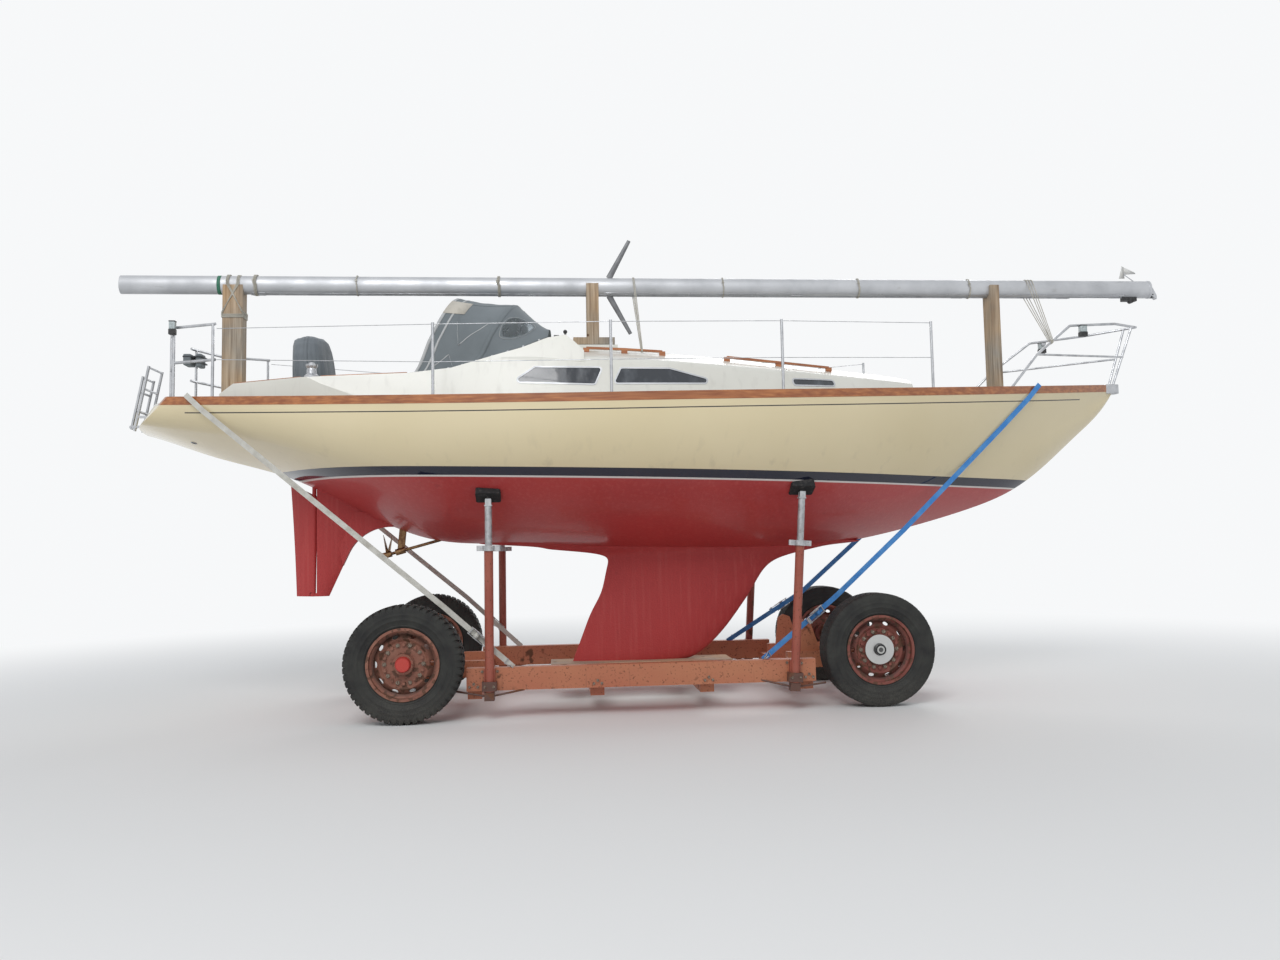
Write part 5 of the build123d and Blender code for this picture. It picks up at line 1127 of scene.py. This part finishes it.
# Stays: bare stainless wire pulled straight along the mast, with a swaged terminal at each end, tied
# up under it at six places.
# Start and end x, angle round the mast and radius of each
stay_table = (
    (-3.88, 4.75, -1.36, 0.0030), (-3.88, 4.20, -1.62, 0.0030), (-3.88, 3.10, -1.80, 0.0025),
    (-3.88, 1.45, -1.10, 0.0025), (-3.88, 0.55, -2.10, 0.0035), (-0.55, 4.78, -0.86, 0.0025),
)
off_skin = 0.001
terminal_length = 0.115
swages = bmesh.new()
for k, (start, end, angle, radius) in enumerate(stay_table):
    laid = [mast_edge(start + (end - start) * n / 8, angle, radius + off_skin) for n in range(9)]
    tube(f"stay_{k}", laid, radius, stainless, sides=8)
    for x in (start + 0.02, end - 0.14):
        ends = (mast_edge(x + along, angle, radius + off_skin) for along in (0, terminal_length))
        add_bar(swages, *ends, radius * 2.1, 12)
close_mesh("stay_terminals", swages, stainless, 0.0006)

# Ties: laid rope in three strands, off-white and weathered, wound round the mast and knotted to
# hold the stays up.
rope = Finish("laid_rope", 0.88, slot="webbing")
x, y, z = rope.axes()
lay = ((x + y + z) * 620).sine()
strands = tint(fade(rope.spots(9, 7), 0.35, 0.75), (0.700, 0.670, 0.590), (0.430, 0.400, 0.330))
# Painted shade: the rope is darker in the grooves between the strands.
rope.set("Base Color", tint(fade(lay, 0.2, -1) * 0.45, strands, (0.200, 0.180, 0.140)))
rope.relief(fade(lay, -1, 1), 0.002, 0.7)
# Place along the mast, turns and radius of the rope
ties = (
    (-3.845, 4, 0.0035), (-2.90, 2, 0.0025), (-1.570, 3, 0.0040), (0.62, 2, 0.0025), (1.98, 3, 0.0025),
    (3.12, 2, 0.0030),
)
for k, (x, turns, thick) in enumerate(ties):
    pitch = 2 * thick + 0.0008
    wound = [mast_edge(x + pitch * n / 40, 2 * pi * n / 40, thick + 0.007) for n in range(40 * turns + 1)]
    knot = [mast_edge(x + 0.012 * cos(a), 0.35 + 0.10 * sin(a), thick + 0.010) for a in range(6)]
    tube(f"stay_tie_{k}", wound, thick, rope, sides=8)
    tube(f"stay_tie_knot_{k}", knot, thick, rope, closed=True, sides=8)

# After lashing: the same rope holds the mast to the after timber, in turns that cross from the
# mast's crown to the timber's edges and then lie flat round it.
timber_x, timber_half_x, timber_half_y = -4.030, 0.092, 0.062
line = 0.0042
lashing_step = 0.0105
for k in range(3):
    for way, end_name in ((-1, "aft"), (1, "fore")):
        outer = line + off_skin + (line if way > 0 else 0)
        top_x = timber_x - way * (0.058 - lashing_step * k)
        edge_x = timber_x + way * (timber_half_x + line + off_skin)
        edge_y = timber_half_y + outer
        edge_z = 3.690 - lashing_step * k - (0.0 if way > 0 else 0.0045)
        over = [mast_edge(top_x, pi * n / 24, outer) for n in range(25)]
        around = [Vector((edge_x, edge_y, edge_z)), Vector((edge_x, -edge_y, edge_z))]
        tube(f"after_lashing_{k}_{end_name}", over + around, line, rope, closed=True, sides=8)
flat_x, flat_y = timber_half_x + line + off_skin, timber_half_y + line + off_skin
for k in range(4):
    z = 3.640 + 0.0090 * k
    flat_turn = [(timber_x + a * flat_x, b * flat_y, z) for a, b in ((-1, -1), (1, -1), (1, 1), (-1, 1))]
    tube(f"after_lashing_turn_{k}", flat_turn, line, rope, closed=True, sides=8)

# Tape: a band of green cloth tape round the mast, aft of the timber, with scuffed edges.
tape_steps = 64
green_tape = Finish("green_tape", 0.5, slot="webbing")
green_tape.mottle((60, 6), (0.45, 0.75), (0.020, 0.150, 0.085), (0.070, 0.220, 0.150))
corners = [mast_edge(x, angle, 0.0015) for x in (-4.178, -4.146) for angle in circle(tape_steps)]
tape = cloth_piece("mast_tape", corners, strip_faces(2, tape_steps, ring=True), green_tape)
thicken(tape, 0.0018)

# Tie-downs: turns of rope over the mast, pulled tight to the pulpit's near tube and to the near
# grab rail, and hitched round each.
_, rail_top, _, _ = nodes["handrails"].ray_cast((-0.236, -0.6195, 5.0), (0, 0, -1))
# First turn's place on the mast, step between turns, number of turns, what they hold, its radius
# and how far each turn climbs on it
tie_downs = (
    ("fore", 3.728, 0.030, 3, Vector((3.735, -0.457, 3.318)), 0.0125, 0.0060),
    ("middle", -0.262, 0.012, 2, rail_top - Vector((0, 0, 0.010)), 0.0130, 0.0),
)
for name, first_x, step, turns, held, held_radius, climb in tie_downs:
    for k in range(turns):
        ring = [mast_edge(first_x + step * k, angle, line + off_skin) for angle in circle(90)]
        slopes = [atan2(point.z - held.z, point.y - held.y) for point in ring]
        near, under = slopes.index(max(slopes)), slopes.index(min(slopes))
        over = [ring[(near + n) % 90] for n in range((under - near) % 90 + 1)]
        hold = held + (k - 1) * Vector((0.0095, 0, climb))
        reach = held_radius + line + off_skin
        hitch = [hold + reach * Vector((0, cos(a), sin(a))) for a in (0.0, -0.9, -1.8, -2.7, -3.6, -4.1)]
        tube(f"tie_down_{name}_{k}", over + hitch, line, rope, closed=True, sides=8)

# Coaming trim: thin varnished teak strips along the top of each coaming, screwed down in two
# lengths with a gap at the winch.
# Ends of each strip: x, the coaming's top and its outer edge
strip_runs = (
    ((-3.765, 2.8775, 0.806), (-3.195, 2.9175, 0.878)),
    ((-3.025, 2.9243, 0.882), (-2.300, 2.9535, 0.880)),
)
strips = bmesh.new()
for side in (-1, 1):
    for ends in strip_runs:
        first, last = (Vector((x, side * (outer - 0.016), z + 0.004)) for x, z, outer in ends)
        run = (last - first).normalized()
        across = Vector((0, 0, 1)).cross(run).normalized()
        turn = Matrix((run, across, run.cross(across))).transposed()
        add_block(strips, (first + last) / 2, ((last - first).length, 0.030, 0.009), turn)
close_mesh("coaming_strips", strips, teak, 0.002)

# Black plastic fittings: a knob on a stem and a catch on each breakwater peak, and the drive socket
# in each winch.
winch_x, winch_y = -3.110, 0.836
knob_x, knob_y = -0.934, 0.752
knobs = bmesh.new()
for side in (-1, 1):
    y = side * knob_y
    add_bar(knobs, (knob_x, y, 3.300), (knob_x, y, 3.336), 0.0095)
    ball = Matrix.Translation((knob_x, y, 3.343))
    bmesh.ops.create_uvsphere(knobs, u_segments=24, v_segments=14, radius=0.0185, matrix=ball)
    add_block(knobs, (-1.012, y, 3.304), (0.046, 0.020, 0.016))
    add_bar(knobs, (winch_x, side * winch_y, 3.048), (winch_x, side * winch_y, 3.0535), 0.0125, 8)
close_mesh("breakwater_knobs", knobs, black_plastic)

# Winch drums: fourteen upright ribs on the waist of each drum, that grip the sheet as it is wound
# in.
drum_ribs = bmesh.new()
for side in (-1, 1):
    for angle in circle(14):
        out = Vector((cos(angle), sin(angle), 0))
        low, high = (Vector((winch_x, side * winch_y, z)) for z in (2.960, 2.996))
        add_bar(drum_ribs, low + out * 0.0410, high + out * 0.0385, 0.0022, 8)
close_mesh("winch_drum_ribs", drum_ribs, stainless, slot="winch_chrome")

# Lamps: one on the pushpit's near corner and two on the pulpit, each a dark box with a clear band
# and a cap, held to the tube by a steel clamp.
lens_clear = Finish("lamp_lens", 0.12)
lens_clear.set("Coat Weight", 0.5)
lens_clear.mottle((60, 6), (0.35, 0.75), (0.50, 0.56, 0.56), (0.30, 0.34, 0.34))
pulpit_lamp = (0.074, 0.052, 0.112)
for name, centre, (across, deep, tall) in (
    ("stern_corner", (-4.330, -0.676, 3.393), (0.056, 0.048, 0.122)),
    ("pulpit_near", (4.092, -0.398, 3.440), pulpit_lamp),
    ("pulpit_far", (4.092, 0.398, 3.440), pulpit_lamp),
):
    middle, up = Vector(centre), Vector((0, 0, tall))
    body, lens, clamp = bmesh.new(), bmesh.new(), bmesh.new()
    add_block(body, middle - up * 0.30, (across, deep, 0.40 * tall))
    add_block(body, middle + up * 0.46, (across, deep, 0.08 * tall))
    add_block(lens, middle + up * 0.16, (across * 0.92, deep * 0.92, 0.56 * tall))
    inward = Vector((0, copysign(0.022, -middle.y), 0))
    add_block(clamp, middle + inward + up * 0.30, (across * 0.5, 0.034, 0.030))
    close_mesh(f"lamp_body_{name}", body, black_plastic, 0.004)
    close_mesh(f"lamp_lens_{name}", lens, lens_clear, 0.006)
    close_mesh(f"lamp_clamp_{name}", clamp, stainless, 0.002)

# Stern case: a soft grey case in two halves, strapped to the far post of the after rail with two
# dark bands.
case_y = 0.300
case = bmesh.new()
add_block(case, (-4.545, case_y, 3.300), (0.075, 0.140, 0.110))
add_block(case, (-4.440, case_y, 3.295), (0.055, 0.120, 0.130))
close_mesh("stern_case", case, hood_canvas, 0.012)
case_straps = bmesh.new()
for z in (3.272, 3.328):
    add_block(case_straps, (-4.492, case_y, z), (0.1830, 0.1435, 0.012))
close_mesh("stern_case_straps", case_straps, dark_binding, 0.001, slot="webbing")

# Exhaust outlet: a steel rim let into the hull on the near side of the counter, round a near-black
# disc that stands for the hole: soot, and painted shade inside it.
_, outlet, outward, _ = nodes["hull"].ray_cast((-4.255, -0.350, 1.0), (0, 0, 1))
facing = outward.to_track_quat("Z", "Y").to_matrix()
rim = [outlet + facing @ Vector((0.024 * cos(a), 0.024 * sin(a), 0.002)) for a in circle(36)]
tube("exhaust_rim", rim, 0.0040, stainless, closed=True)
# Near-black disc for the hole: soot, and painted shade where the hole would be dark.
soot_and_shade = Finish("exhaust_soot_and_shade", 0.95)
soot_and_shade.set("Base Color", (0.008, 0.008, 0.008))
hole = bmesh.new()
add_bar(hole, outlet - outward * 0.004, outlet + outward * 0.0012, 0.0225, 36)
close_mesh("exhaust_hole", hole, soot_and_shade)

# Post feet: a steel shoe and a block under each post, stayed to the beam fore and aft, with bolts
# through the beam. The screw above each post is cut with a coarse thread, up to the clevis.
post_y = 1.010
beam_y = 0.965
shoe_height, stay_height, brace_height = 0.286, 0.205, 0.400
collar_top = 1.457
clevis_below = 0.130
thread_pitch = 0.0115
thread_steps = 18
shoe = bmesh.new()
bolts = bmesh.new()
# Foot of each post along the trailer and its lean
for end_name, foot_x, lean in (("aft", -1.605, 0.0), ("fore", 0.969, radians(4.0))):
    for side, hand in ((-1, "right"), (1, "left")):
        up = Vector((sin(lean), 0, cos(lean)))
        ahead = Vector((up.z, 0, -up.x))
        beside = Vector((0, side, 0))
        base = Vector((foot_x, side * post_y, 0))
        turn = Matrix((ahead, beside, up)).transposed()
        seat = base + up * shoe_height
        add_block(shoe, seat + beside * 0.046, (0.120, 0.012, 0.078), turn)
        for edge in (-1, 1):
            add_block(shoe, seat + ahead * edge * 0.057 + beside * 0.004, (0.009, 0.084, 0.078), turn)
        add_block(shoe, base + up * 0.203, (0.084, 0.084, 0.070), turn)
        for edge in (-1, 1):
            stay_end = base + ahead * edge * 0.290 - beside * 0.060 + up * 0.243
            add_bar(shoe, base + up * stay_height + ahead * edge * 0.040, stay_end, 0.0085, 12)
            add_pin(bolts, seat + ahead * edge * 0.036 + beside * 0.056, beside * 0.006, 0.0115, 6)
            brace = base + up * brace_height + ahead * edge * 0.064
            add_pin(bolts, brace - beside * 0.044, beside * 0.006, 0.0125, 6)
        _, touch, _, _ = nodes["hull"].ray_cast(base + up * 0.5, up)
        turns = int(((touch - base).length - clevis_below - collar_top) / thread_pitch)
        helix = []
        for n in range(thread_steps * turns):
            angle = 2 * pi * n / thread_steps
            spoke = (ahead * cos(angle) + beside * sin(angle)) * 0.0288
            helix.append(base + up * (collar_top + thread_pitch * n / thread_steps) + spoke)
        tube(f"jack_thread_{end_name}_{hand}", helix, 0.0026, zinc, sides=8)
for x in (-1.740, -0.700, 0.250, 1.126):
    for side in (-1, 1):
        for dx, z in ((-0.034, 0.275), (0.034, 0.275), (0.0, 0.300)):
            add_pin(bolts, (x + dx, side * beam_y, z), (0, side * 0.007, 0), 0.013, 6)
close_mesh("post_shoes", shoe, axle_paint, 0.0015)
close_mesh("frame_bolts", bolts, nut_steel, 0.0008)
